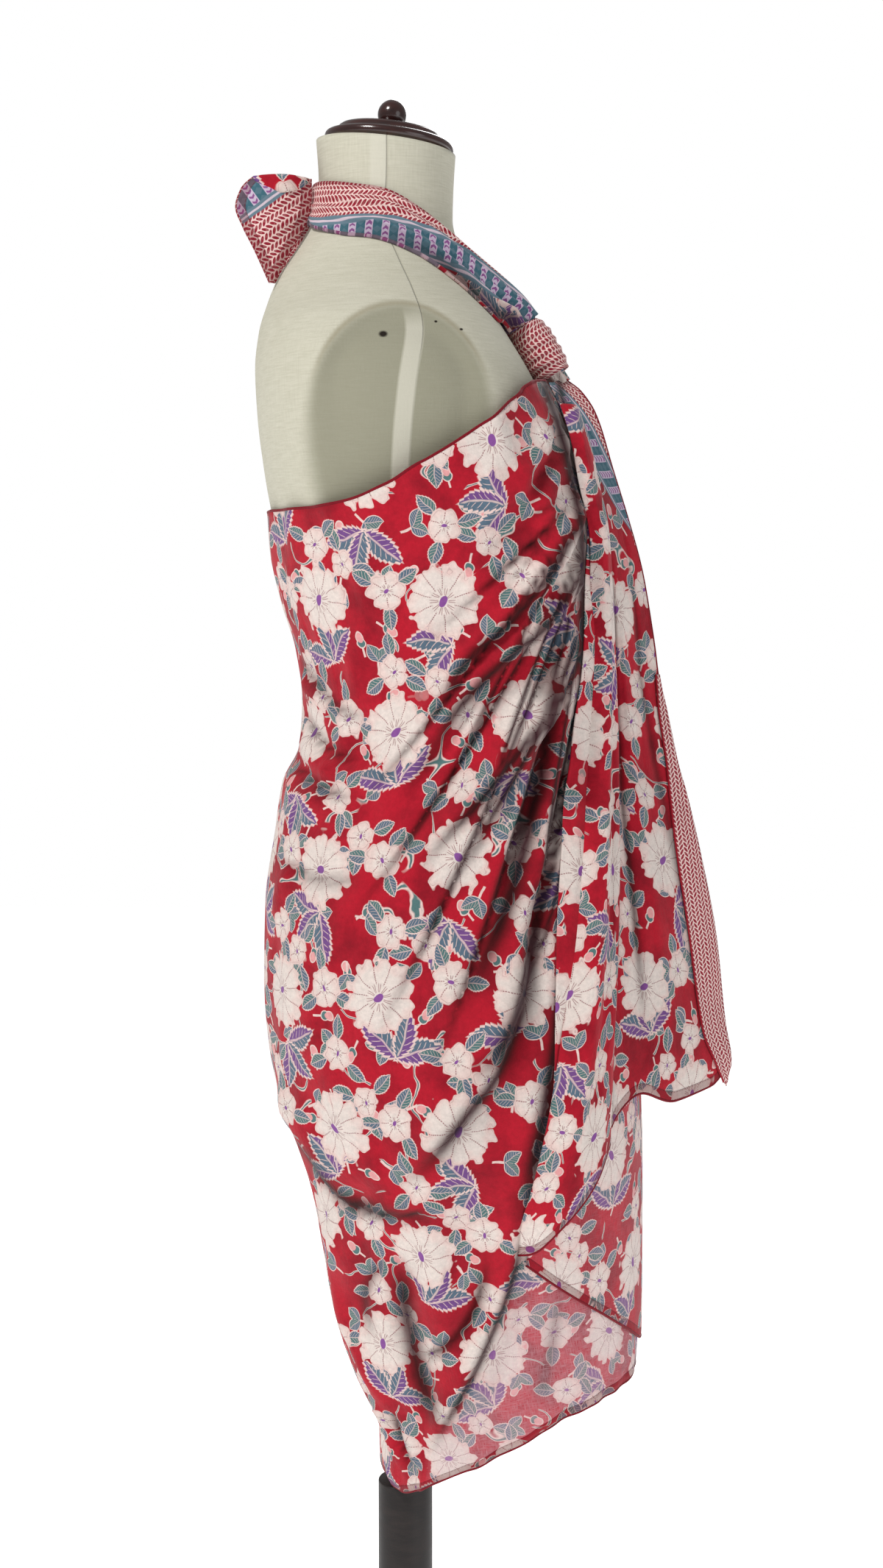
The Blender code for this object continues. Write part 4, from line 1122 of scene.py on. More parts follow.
wrapCloth = {
    "sections": (
        ("z", "back", "front", "near", "far", "power"),
        (1.3, -0.115, 0.101, 0.164, 0.164, 2.3),
        (1.286, -0.115, 0.107, 0.166, 0.166, 2.3),
        (1.255, -0.114, 0.123, 0.169, 0.169, 2.3),
        (1.215, -0.11, 0.139, 0.166, 0.166, 2.25),
        (1.183, -0.1045, 0.15, 0.16, 0.16, 2.25),
        (1.156, -0.103, 0.154, 0.155, 0.154, 2.2),
        (1.117, -0.095, 0.158, 0.148, 0.146, 2.2),
        (1.078, -0.0835, 0.16, 0.142, 0.138, 2.15),
        (1.041, -0.079, 0.162, 0.139, 0.133, 2.1),
        (1.005, -0.0815, 0.164, 0.14, 0.133, 2.1),
        (0.977, -0.0945, 0.166, 0.144, 0.138, 2.1),
        (0.939, -0.1005, 0.169, 0.154, 0.148, 2.15),
        (0.886, -0.108, 0.173, 0.169, 0.162, 2.2),
        (0.826, -0.1094, 0.178, 0.179, 0.173, 2.2),
        (0.781, -0.1068, 0.181, 0.181, 0.174, 2.2),
        (0.722, -0.095, 0.183, 0.176, 0.169, 2.2),
        (0.701, -0.087, 0.184, 0.17, 0.164, 2.2),
        (0.668, -0.0755, 0.1845, 0.159, 0.155, 2.2),
        (0.617, -0.0664, 0.185, 0.144, 0.14, 2.15),
        (0.555, -0.0561, 0.1854, 0.126, 0.122, 2.1),
        (0.512, -0.0422, 0.1835, 0.113, 0.109, 2.1),
        (0.49, -0.0323, 0.18, 0.104, 0.1, 2.1),
        (0.465, -0.0215, 0.17, 0.093, 0.09, 2.05),
        (0.432, -0.02, 0.15, 0.076, 0.074, 2.0),
        (0.41, -0.008, 0.13, 0.064, 0.062, 2.0),
        (0.395, 0.004, 0.115, 0.056, 0.054, 2.0),
    ),
    "edges": (
        ("angle", "top", "nearHem", "farHem"),
        (0.0, 1.278, 0.515, 0.52),
        (14.0, 1.279, 0.515, 0.52),
        (35.0, 1.274, 0.512, 0.518),
        (53.0, 1.258, 0.508, 0.512),
        (68.0, 1.2406, 0.498, 0.502),
        (86.0, 1.2183, 0.478, 0.486),
        (101.0, 1.198, 0.459, 0.47),
        (116.0, 1.187, 0.443, 0.456),
        (132.0, 1.183, 0.426, 0.444),
        (150.0, 1.1825, 0.418, 0.438),
        (165.0, 1.183, 0.423, 0.436),
        (180.0, 1.1834, 0.434, 0.434),
    ),
    "start": 12.0,
    "end": -368.0,
    "inset": 0.0042,
    "insetFrom": -292.0,
    "insetTo": -340.0,
    "columns": 300,
    "rows": 162,
    "nearPull": 30.0,
    "wall": 0.0009,
    "touchGap": 0.0008,
    "creaseDepth": 1.5,
    "trueMap": 80.0,
    "mapLevel": 0.75,
    # The large folds of the solid
    "nearFolds": (
        ("ridge", 0.004, 0.017, (
            (0.128, 1.2), (0.112, 1.145), (0.074, 1.092), (0.03, 1.045), (-0.03, 0.97),
        )),
        ("ridge", 0.004, 0.015, (
            (0.137, 1.13), (0.115, 1.055), (0.089, 1.022), (0.057, 0.983), (0.012, 0.931),
            (-0.05, 0.87),
        )),
        ("ridge", 0.005, 0.015, ((0.124, 1.18), (0.112, 1.05), (0.082, 0.93), (0.045, 0.84), (0.0, 0.775))),
        ("trough", 0.005, 0.011, ((0.118, 1.13), (0.104, 1.01), (0.075, 0.9), (0.03, 0.81))),
        ("ridge", 0.006, 0.014, ((-0.1, 0.76), (-0.074, 0.722), (-0.045, 0.702), (0.01, 0.706))),
        ("trough", 0.006, 0.012, ((-0.092, 0.728), (-0.064, 0.694), (-0.036, 0.676), (0.012, 0.68))),
        ("ridge", 0.006, 0.013, ((0.04, 0.77), (0.022, 0.68), (0.03, 0.59), (0.055, 0.5))),
        ("ridge", 0.005, 0.013, ((-0.045, 0.66), (-0.03, 0.57), (-0.005, 0.48))),
        ("trough", 0.004, 0.012, ((-0.004, 0.65), (0.008, 0.56), (0.03, 0.48))),
        ("trough", 0.006, 0.011, ((0.106, 0.95), (0.094, 0.868), (0.078, 0.815), (0.045, 0.77))),
    ),
    "farFolds": (
        ("ridge", 0.0055, 0.014, ((0.112, 1.23), (0.066, 1.12), (0.005, 1.025), (-0.055, 0.965))),
        ("ridge", 0.0055, 0.013, ((0.12, 1.2), (0.098, 1.07), (0.056, 0.96), (0.0, 0.88), (-0.06, 0.83))),
        ("trough", 0.005, 0.012, ((0.122, 1.15), (0.108, 1.02), (0.08, 0.9), (0.04, 0.82))),
        ("ridge", 0.0055, 0.013, ((0.126, 1.05), (0.114, 0.93), (0.09, 0.8), (0.06, 0.69), (0.05, 0.58))),
        ("ridge", 0.0045, 0.011, ((-0.09, 1.03), (-0.05, 1.0), (-0.01, 0.99))),
        ("trough", 0.0055, 0.013, ((-0.08, 0.715), (-0.04, 0.69), (0.01, 0.69), (0.06, 0.71))),
        ("ridge", 0.0055, 0.012, ((-0.03, 0.64), (-0.01, 0.55), (0.02, 0.47))),
    ),
    # The finer creases, from the knot down
    "nearCreases": (
        ("pleat", 0.006, 0.011, (
            (0.136, 1.215), (0.129, 1.183), (0.115, 1.16), (0.095, 1.128), (0.07, 1.1),
            (0.044, 1.077), (0.025, 1.048), (0.005, 1.016),
        )),
        ("pleat", 0.0065, 0.011, (
            (0.145, 1.2), (0.143, 1.17), (0.127, 1.141), (0.102, 1.103), (0.079, 1.084),
            (0.057, 1.064), (0.034, 1.038), (0.018, 1.009), (-0.004, 0.975),
        )),
        ("pleat", 0.0055, 0.011, (
            (0.147, 1.157), (0.137, 1.109), (0.115, 1.055), (0.089, 1.022), (0.057, 0.983),
            (0.028, 0.951), (0.004, 0.92),
        )),
        ("pleat", 0.005, 0.009, (
            (0.133, 1.12), (0.121, 1.084), (0.102, 1.038), (0.08, 0.996), (0.057, 0.957),
            (0.03, 0.905),
        )),
        ("trough", 0.007, 0.0046, (
            (0.12, 1.09), (0.112, 1.042), (0.099, 0.983), (0.083, 0.944), (0.064, 0.879),
        )),
        ("trough", 0.0085, 0.0048, (
            (0.133, 1.06), (0.13, 1.022), (0.122, 0.983), (0.11, 0.93), (0.098, 0.88),
            (0.09, 0.84),
        )),
        ("pleat", 0.0045, 0.007, (
            (0.143, 1.13), (0.138, 1.06), (0.13, 0.99), (0.118, 0.925), (0.102, 0.865),
        )),
        ("pleat", 0.004, 0.008, ((0.12, 0.96), (0.108, 0.905), (0.092, 0.86), (0.07, 0.82))),
        ("trough", 0.0026, 0.0055, ((-0.088, 1.084), (-0.069, 1.061), (-0.046, 1.038), (-0.02, 1.03))),
        ("ridge", 0.003, 0.006, ((-0.085, 1.064), (-0.062, 1.045), (-0.03, 1.03))),
        ("trough", 0.003, 0.005, ((-0.082, 1.04), (-0.056, 1.009), (-0.028, 0.998))),
        ("ridge", 0.0036, 0.006, ((-0.086, 1.022), (-0.063, 0.998), (-0.025, 0.99), (0.01, 1.0))),
        ("trough", 0.003, 0.005, ((-0.09, 1.0), (-0.066, 0.982), (-0.03, 0.972))),
        ("ridge", 0.003, 0.006, ((-0.094, 0.983), (-0.066, 0.97), (-0.03, 0.978), (-0.004, 0.994))),
        ("trough", 0.0022, 0.006, ((-0.096, 0.925), (-0.063, 0.915), (-0.021, 0.918))),
        ("pleat", 0.008, 0.015, (
            (0.096, 0.88), (0.083, 0.835), (0.064, 0.788), (0.041, 0.758), (0.018, 0.728),
            (-0.008, 0.7),
        )),
        ("pleat", 0.006, 0.011, (
            (0.03, 0.676), (0.012, 0.683), (-0.019, 0.675), (-0.044, 0.68), (-0.061, 0.697),
            (-0.08, 0.735),
        )),
        ("ridge", 0.003, 0.007, ((0.0, 0.78), (-0.03, 0.745), (-0.06, 0.735))),
        ("pleat", 0.006, 0.01, (
            (0.088, 0.69), (0.08, 0.641), (0.069, 0.6), (0.051, 0.553), (0.028, 0.5),
            (0.016, 0.462),
        )),
        ("ridge", 0.004, 0.006, (
            (-0.056, 0.668), (-0.051, 0.63), (-0.046, 0.59), (-0.036, 0.553), (-0.016, 0.51),
        )),
        ("ridge", 0.0045, 0.005, ((-0.02, 0.505), (-0.012, 0.48), (0.0, 0.44))),
        ("trough", 0.004, 0.004, ((-0.01, 0.5), (-0.002, 0.475), (0.008, 0.44))),
        ("ridge", 0.0045, 0.005, ((0.002, 0.5), (0.009, 0.47), (0.016, 0.446))),
        ("trough", 0.0035, 0.006, ((0.066, 0.655), (0.053, 0.6), (0.03, 0.566), (0.008, 0.548))),
        ("ridge", 0.003, 0.006, ((0.04, 0.64), (0.02, 0.61), (-0.01, 0.595))),
        ("trough", 0.0026, 0.006, ((-0.01, 0.64), (-0.028, 0.6), (-0.022, 0.559))),
        ("ridge", 0.0026, 0.008, ((0.15, 0.64), (0.14, 0.58), (0.136, 0.53))),
        ("trough", 0.0022, 0.008, ((0.118, 0.62), (0.11, 0.56), (0.1, 0.51))),
        ("ridge", 0.003, 0.0055, ((0.116, 1.262), (0.1, 1.225), (0.076, 1.19), (0.05, 1.165))),
        ("ridge", 0.0026, 0.005, ((0.12, 1.255), (0.112, 1.21), (0.095, 1.175))),
        ("trough", 0.0022, 0.0045, ((0.118, 1.258), (0.107, 1.216), (0.086, 1.182))),
    ),
    "farCreases": (
        ("pleat", 0.0055, 0.01, ((0.02, 1.05), (0.05, 1.08), (0.09, 1.12), (0.12, 1.165), (0.132, 1.21))),
        ("pleat", 0.0055, 0.01, ((0.0, 0.95), (0.04, 1.0), (0.085, 1.05), (0.12, 1.11), (0.14, 1.17))),
        ("pleat", 0.005, 0.009, ((0.03, 0.88), (0.066, 0.94), (0.1, 1.01), (0.13, 1.08))),
        ("trough", 0.003, 0.0055, ((-0.086, 1.06), (-0.06, 1.035), (-0.03, 1.028))),
        ("ridge", 0.0034, 0.006, ((-0.088, 1.036), (-0.06, 1.01), (-0.02, 1.004))),
        ("trough", 0.003, 0.0055, ((-0.09, 1.008), (-0.06, 0.985), (-0.02, 0.984))),
        ("pleat", 0.006, 0.012, ((-0.01, 0.72), (0.02, 0.756), (0.052, 0.8), (0.08, 0.86))),
        ("ridge", 0.004, 0.007, ((-0.05, 0.65), (-0.04, 0.59), (-0.014, 0.52))),
        ("ridge", 0.004, 0.007, ((0.06, 0.66), (0.05, 0.59), (0.04, 0.51))),
        ("trough", 0.0035, 0.006, ((0.02, 0.64), (0.026, 0.57), (0.03, 0.5))),
        ("ridge", 0.003, 0.008, ((0.12, 0.76), (0.116, 0.68), (0.11, 0.58))),
    ),
    # Under the falls and the folded layer the cloth lies flatter, so that it stays below them
    "flatUnder": {
        "margin": 3.0,
        "blend": 5.0,
        "foot": (0.62, 0.64),
        "layerSide": (-0.012, -0.004),
        "layerFoot": (0.50, 0.53),
        "most": 0.0004,
    },
    "flatFront": (0.10, 0.45),
    "rippleAcross": 0.14,
    # Pleats that fan out from the tie: angle, bend, start, end, height, width
    "nearFan": {
        "knot": (0.152, 1.222),
        "spread": 0.008,
        "pleats": (
            (36.0, 20, 0.03, 0.15, 0.0016, 0.003),
            (44.0, -10, 0.03, 0.21, 0.0022, 0.0034),
            (49.0, 10, 0.05, 0.17, 0.0016, 0.0026),
            (55.5, -14, 0.03, 0.33, 0.0026, 0.003),
            (61.0, 8, 0.04, 0.3, 0.003, 0.0028),
            (64.5, -20, 0.09, 0.4, 0.003, 0.0034),
            (67.8, 6, 0.03, 0.34, 0.0028, 0.0024),
            (70.6, -12, 0.08, 0.46, 0.0034, 0.003),
            (73.6, 4, 0.03, 0.3, 0.0026, 0.0022),
            (75.8, -10, 0.11, 0.48, 0.0034, 0.0028),
            (78.4, 6, 0.06, 0.38, 0.0034, 0.0024),
            (81.0, -8, 0.03, 0.5, 0.0036, 0.0026),
            (83.6, 3, 0.09, 0.36, 0.0034, 0.0022),
            (86.5, -6, 0.03, 0.44, 0.003, 0.0024),
        ),
    },
    "farFan": {
        "knot": (0.150, 1.226),
        "spread": 0.008,
        "pleats": (
            (41.0, 12, 0.03, 0.19, 0.002, 0.0034),
            (48.0, -16, 0.05, 0.27, 0.0026, 0.0034),
            (54.0, 8, 0.03, 0.23, 0.002, 0.0028),
            (59.0, -10, 0.04, 0.35, 0.003, 0.0034),
            (64.0, 10, 0.09, 0.33, 0.0026, 0.003),
            (68.5, -8, 0.03, 0.43, 0.0034, 0.0034),
            (73.0, 6, 0.06, 0.36, 0.003, 0.0028),
            (77.5, -10, 0.11, 0.47, 0.0034, 0.0034),
            (82.0, 5, 0.04, 0.4, 0.003, 0.0028),
            (86.0, -5, 0.06, 0.36, 0.0028, 0.0026),
        ),
    },
    # Slow unevenness of cloth that hangs loose
    "ripples": (
        (0.001, 0.071, 0.16, 0.3),
        (0.0008, 0.043, 0.11, 1.9),
        (0.0005, 0.027, 0.07, 4.1),
    ),
    # Right of this line, in (x, z), the near side is one thin layer with light behind it
    "paleLine": (
        ("z", "x"),
        (0.42, 0.02), (0.467, 0.022), (0.484, 0.029), (0.515, 0.045), (0.553, 0.064), (0.587, 0.075),
        (0.624, 0.086), (0.66, 0.1),
    ),
    "paleTop": (0.640, 0.600),
    "paleBlend": 0.006,
    "paleBack": -130.0,
    "shadeSide": (0.02, 0.06),
    # The broad inner fold shades the cloth beside it: place, width, from which height
    "besideFold": (-0.002, 0.006, (0.66, 0.72)),
}


def bySide(side, near, far):
    return np.where(side < 0, near, far)


def wrapCreases(angle, side, x, z):
    # The finer creases, without those that would come through a layer over them
    form = wrapCloth
    creases = bySide(side, foldRise(form["nearCreases"], x, z), foldRise(form["farCreases"], x, z))
    creases = creases + ripple(np.radians(angle) * form["rippleAcross"], z, form["ripples"])
    fans = bySide(side, fanOfPleats(form["nearFan"], x, z)[0], fanOfPleats(form["farFan"], x, z)[0])
    creases = form["creaseDepth"] * creases + fans
    flat = form["flatUnder"]
    root = readTable(fallCloth["sections"], z)["rootAngle"] + flat["margin"]
    wrapped = np.abs((angle + 180.0) % 360.0 - 180.0)
    covered = smoothStep(root + flat["blend"], root, wrapped) * smoothStep(*flat["foot"], z)
    fromLayer = x - readTable(foldedUnder["side"], z)["x"]
    layer = smoothStep(*flat["layerSide"], fromLayer) * smoothStep(*flat["layerFoot"], z)
    covered = np.maximum(covered, layer * (z < foldedUnder["top"]) * (side < 0))
    return creases + (np.minimum(creases, flat["most"]) - creases) * covered


def wrapPoints(angle, z, offset=0.0, creased=False):
    # The wrap's outer face at an angle from the front, negative on the near side, and a height
    angle, z = np.broadcast_arrays(np.asarray(angle, float), np.asarray(z, float))
    section = readTable(wrapCloth["sections"], z)
    forward = np.cos(np.radians(angle))
    side = np.sin(np.radians(angle))
    centre = (section["front"] + section["back"]) / 2
    reach = (section["front"] - section["back"]) / 2
    half = bySide(side, section["near"], section["far"])
    power = section["power"]
    x = centre + reach * roundPower(forward, power)
    y = half * roundPower(side, power)
    outX = np.sign(forward) * np.abs(forward) ** (2 - 2 / power) / reach
    outY = np.sign(side) * np.abs(side) ** (2 - 2 / power) / half
    length = np.hypot(outX, outY)
    rise = bySide(side, foldRise(wrapCloth["nearFolds"], x, z), foldRise(wrapCloth["farFolds"], x, z))
    if creased:
        rise = rise + wrapCreases(angle, side, x, z)
    out = rise * smoothStep(*wrapCloth["flatFront"], np.abs(side)) + offset
    points = np.stack([x + outX / length * out, y + outY / length * out, z], axis=-1)
    return pushOffTorso(points, wrapCloth["wall"] + wrapCloth["touchGap"] + np.maximum(offset, 0.0))


def angleAt(x, z):
    # The angle, on the near side, at which the wrap has this x
    section = readTable(wrapCloth["sections"], z)
    centre = (section["front"] + section["back"]) / 2
    reach = (section["front"] - section["back"]) / 2
    share = np.clip((x - centre) / reach, -1.0, 1.0)
    cosine = np.sign(share) * np.abs(share) ** (section["power"] / 2)
    return -np.degrees(np.arccos(np.clip(cosine, -1.0, 1.0)))


def gridHeights(top, hem, rows):
    # Heights from the top down to the hem, one row of a grid after another
    return top + (hem - top) * np.linspace(0.0, 1.0, rows)[:, None]


def footHemMap(cloth):
    # Metres along the foot hem and up from it
    return np.stack([cloth[..., 0], cloth[-1:, :, 1] - cloth[..., 1]], axis=-1)


def makeWrap(floral, rolled):
    form = wrapCloth
    # Columns stand closer together on the near side, where the pleats are finest
    spot = np.linspace(0.0, 1.0, form["columns"])
    angles = form["start"] + (form["end"] - form["start"]) * spot
    angles = angles + form["nearPull"] * np.sin(2 * math.pi * spot)
    wrapped = (angles + 180.0) % 360.0 - 180.0
    edges = readTable(form["edges"], np.abs(wrapped))
    z = gridHeights(edges["top"], bySide(wrapped, edges["nearHem"], edges["farHem"]), form["rows"])
    inset = -form["inset"] * smoothStep(form["insetFrom"], form["insetTo"], angles)
    points = wrapPoints(angles[None, :], z, inset[None, :], True)
    # The print lies on the cloth as it hangs without its finer creases, and doesn't shear on the far side
    base = wrapPoints(angles[None, :], z, inset[None, :])
    fromSide = angles + 90.0
    cloth = clothMap(base, middle=np.argmin(np.abs(fromSide)) / (form["columns"] - 1))
    level = cloth[..., 0].mean(axis=0, keepdims=True)
    cloth[..., 0] = level + (cloth[..., 0] - level) * bell(fromSide, form["trueMap"])
    cloth[..., 1] += form["mapLevel"] * (edges["top"].max() - edges["top"])
    x = points[..., 0]
    y = points[..., 1]
    # Painted light: the near side is painted paler right of the pale line, as one thin layer lit from behind
    fromLine = x - readTable(form["paleLine"], z)["x"]
    near = (y < 0) & (angles[None, :] > form["paleBack"])
    blend = form["paleBlend"]
    pale = smoothStep(-blend, blend, fromLine) * smoothStep(*form["paleTop"], z) * near
    # Painted shade for the 'deep' tint: in the folds, creases and pleat gaps, and beside the inner fold
    nearCreaseShade = foldShade(form["nearFolds"] + form["nearCreases"], x, z)
    nearCreaseShade = np.maximum(nearCreaseShade, fanOfPleats(form["nearFan"], x, z)[1])
    farCreaseShade = foldShade(form["farFolds"] + form["farCreases"], x, z)
    farCreaseShade = np.maximum(farCreaseShade, fanOfPleats(form["farFan"], x, z)[1])
    place, width, heights = form["besideFold"]
    beside = x - readTable(innerFold["sections"], z)["left"]
    nearCreaseShade = np.maximum(nearCreaseShade, bell(beside - place, width) * smoothStep(*heights, z))
    deep = bySide(y, nearCreaseShade, farCreaseShade) * smoothStep(*form["shadeSide"], np.abs(y))
    hemMap = footHemMap(cloth)
    wrap = addShell("sarong_wrap", points, form["wall"], floral, cloth, hem=hemMap, pale=pale, deep=deep)
    settle(wrap, "wrap")
    out = sheetNormals(points)
    top = addRolledEdge("sarong_top_hem", points[0], out[0], rolled)
    foot = addRolledEdge("sarong_foot_hem", points[-1], out[-1], rolled)
    print("wrap done")


rolledEdge = {"radius": 0.0011, "sides": 8, "flatten": 0.7, "mapAway": 0.31, "mapStep": 0.0004}


def addRolledEdge(
    name, line, out, material, radius=rolledEdge["radius"], slot="printed_cotton", border=1.0
):
    # A rolled hem along an edge, a little flatter than it is wide, with the print carried on along it
    steps = np.concatenate([[0.0], np.cumsum(np.linalg.norm(np.diff(line, axis=0), axis=-1))])
    line = line - out * (wrapCloth["wall"] / 2)
    sides = rolledEdge["sides"]
    along = unit(np.gradient(line, axis=0))
    across = unit(np.cross(along, out))
    turn = np.linspace(0.0, 2 * math.pi, sides, endpoint=False)[None, :, None]
    high = np.cross(across, along)[:, None] * (rolledEdge["flatten"] * np.sin(turn))
    piece = addLoft(name, line[:, None] + (across[:, None] * np.cos(turn) + high) * radius, material, True)
    vertex = faceCorners(piece.data)
    for title, away in (("Cloth", rolledEdge["mapAway"]), ("Hem", 0.0), ("Border", border)):
        around = away + rolledEdge["mapStep"] * (vertex % sides)
        writeMap(piece.data, title, np.stack([steps[vertex // sides], around], axis=-1))
    return settle(piece)


# The falls of cloth at the front

fallCloth = {
    "sections": (
        ("z", "rootAngle", "bendAngle", "edgeX", "edgeY", "stripX"),
        (1.285, 10.0, 5.0, 0.124, 0.008, 0.1225),
        (1.276, 14.0, 8.0, 0.135, 0.012, 0.1335),
        (1.258, 18.0, 11.0, 0.1465, 0.016, 0.145),
        (1.217, 26.0, 16.0, 0.1595, 0.019, 0.156),
        (1.177, 32.0, 20.0, 0.172, 0.021, 0.169),
        (1.136, 38.0, 24.0, 0.183, 0.022, 0.18),
        (1.087, 43.0, 28.0, 0.1915, 0.023, 0.189),
        (1.055, 46.0, 30.0, 0.196, 0.023, 0.1935),
        (1.033, 48.0, 31.0, 0.201, 0.023, 0.196),
        (0.992, 51.0, 33.0, 0.21, 0.023, 0.203),
        (0.967, 53.0, 35.0, 0.2175, 0.023, 0.207),
        (0.917, 56.0, 37.0, 0.229, 0.023, 0.214),
        (0.864, 59.0, 39.0, 0.24, 0.023, 0.223),
        (0.788, 62.0, 41.0, 0.249, 0.023, 0.234),
        (0.76, 63.0, 42.0, 0.2535, 0.023, 0.244),
        (0.735, 63.0, 42.0, 0.252, 0.023, 0.25),
        (0.7, 63.0, 42.0, 0.25, 0.023, 0.25),
    ),
    "hem": (
        ("share", "near", "far"),
        (0.0, 0.72, 0.8), (0.3, 0.73, 0.79), (0.45, 0.741, 0.786), (0.62, 0.752, 0.795),
        (0.8, 0.74, 0.78), (0.94, 0.743, 0.786), (1.0, 0.757, 0.8),
    ),
    "top": 1.2790,
    "topRise": 0.0060,
    "columns": 80,
    "rows": 220,
    "wall": 0.0008,
    "nearOffset": 0.0054,
    "farOffset": 0.0024,
    "farDrawBack": 0.012,
    "flute": 0.0050,
    "fluteFrom": (1.24, 1.00),
    "onWrapShare": 0.35,
    "rollIn": 0.0038,
    "rollShare": 0.10,
    # How much of the printed border shows at the front edge, by height
    "borderStart": (
        ("z", "away"),
        (1.285, 0.036), (1.255, 0.044), (1.225, 0.052), (1.195, 0.064), (1.17, 0.084), (1.15, 0.11),
        (0.7, 0.11),
    ),
    # Soft folds down the fall, in (share, height)
    "creases": (
        ("ridge", 0.003, 0.05, ((0.4, 1.23), (0.44, 1.1), (0.5, 0.95), (0.52, 0.8))),
        ("trough", 0.0034, 0.035, ((0.55, 1.18), (0.58, 1.05), (0.63, 0.9), (0.66, 0.78))),
        ("ridge", 0.003, 0.04, ((0.68, 1.15), (0.72, 1.0), (0.78, 0.85), (0.8, 0.76))),
        ("trough", 0.0024, 0.03, ((0.86, 1.2), (0.86, 1.05), (0.9, 0.9), (0.92, 0.78))),
    ),
    "creasesFrom": (1.27, 1.16),
    "ripples": ((0.0014, 0.050, 0.120, 0.7), (0.0008, 0.031, 0.080, 2.6)),
    "rippleAcross": 0.09,
    "besideFold": (0.0025, 0.0055, 0.9),        # its shade: place, width, strength
    "stripTop": 1.0600,
    "stripShareScale": 0.55,
    "stripFoot": (0.7440, 0.7400, 0.7440, 0.7560),
    "stripGap": 0.0017,
    "stripGrid": (130, 14),
    "stripWall": 0.0007,
    "stripHem": 0.0009,
    "stripMapStart": 0.0015,
}


def fallPoints(share, z, near, creased=False):
    # The outer face of a falling side end, share 0 at its hidden root and 1 at its front edge
    form = fallCloth
    share, z = np.broadcast_arrays(np.asarray(share, float), np.asarray(z, float))
    section = readTable(form["sections"], z)
    side = -1.0 if near else 1.0
    standing = form["nearOffset"] if near else form["farOffset"]
    root = wrapPoints(side * section["rootAngle"], z, standing)
    bend = wrapPoints(side * section["bendAngle"], z, standing)
    draw = 0.0 if near else form["farDrawBack"]
    edgeX = section["edgeX"] - draw * smoothStep(1.27, 1.10, z)
    edge = np.stack([edgeX, side * section["edgeY"], z], axis=-1)
    part = form["onWrapShare"]
    first = np.clip(share / part, 0.0, 1.0)
    angle = section["rootAngle"] + (section["bendAngle"] - section["rootAngle"]) * first
    roll = form["rollIn"] * (1 - smoothStep(0.0, form["rollShare"], share))
    onWrap = wrapPoints(side * angle, z, standing - roll * (creased and near))
    second = np.clip((share - part) / (1.0 - part), 0.0, 1.0)[..., None]
    lead = bend + (bend - root) * part
    free = (1 - second) ** 2 * bend + 2 * second * (1 - second) * lead + second**2 * edge
    points = np.where(share[..., None] < part, onWrap, free)
    wave = np.sin(second[..., 0] * math.pi * 2.0) * (1 - second[..., 0])
    points[..., 1] -= side * form["flute"] * smoothStep(*form["fluteFrom"], z) * wave
    if creased:
        rise = foldRise(form["creases"], share, z) * smoothStep(part, part + 0.12, share)
        loose = ripple(share * form["rippleAcross"], z, form["ripples"])
        rise = rise + smoothStep(part, 1.0, share) * loose
        points[..., 1] += side * rise * smoothStep(*form["creasesFrom"], z)
    return points


def stripPoints(share, z):
    # Points of the near fall, moved out square to its face to where the turned border lies
    share, z = np.broadcast_arrays(share, z)
    step = 0.01
    middle, left, right, above, below = (
        fallPoints(np.minimum(share + across, 1.0), z + up, True, True)
        for across, up in ((0.0, 0.0), (-step, 0.0), (step, 0.0), (0.0, step), (0.0, -step))
    )
    out = unit(np.cross(below - above, right - left))
    return middle - out * np.sign(out[..., 1:2]) * fallCloth["stripGap"]


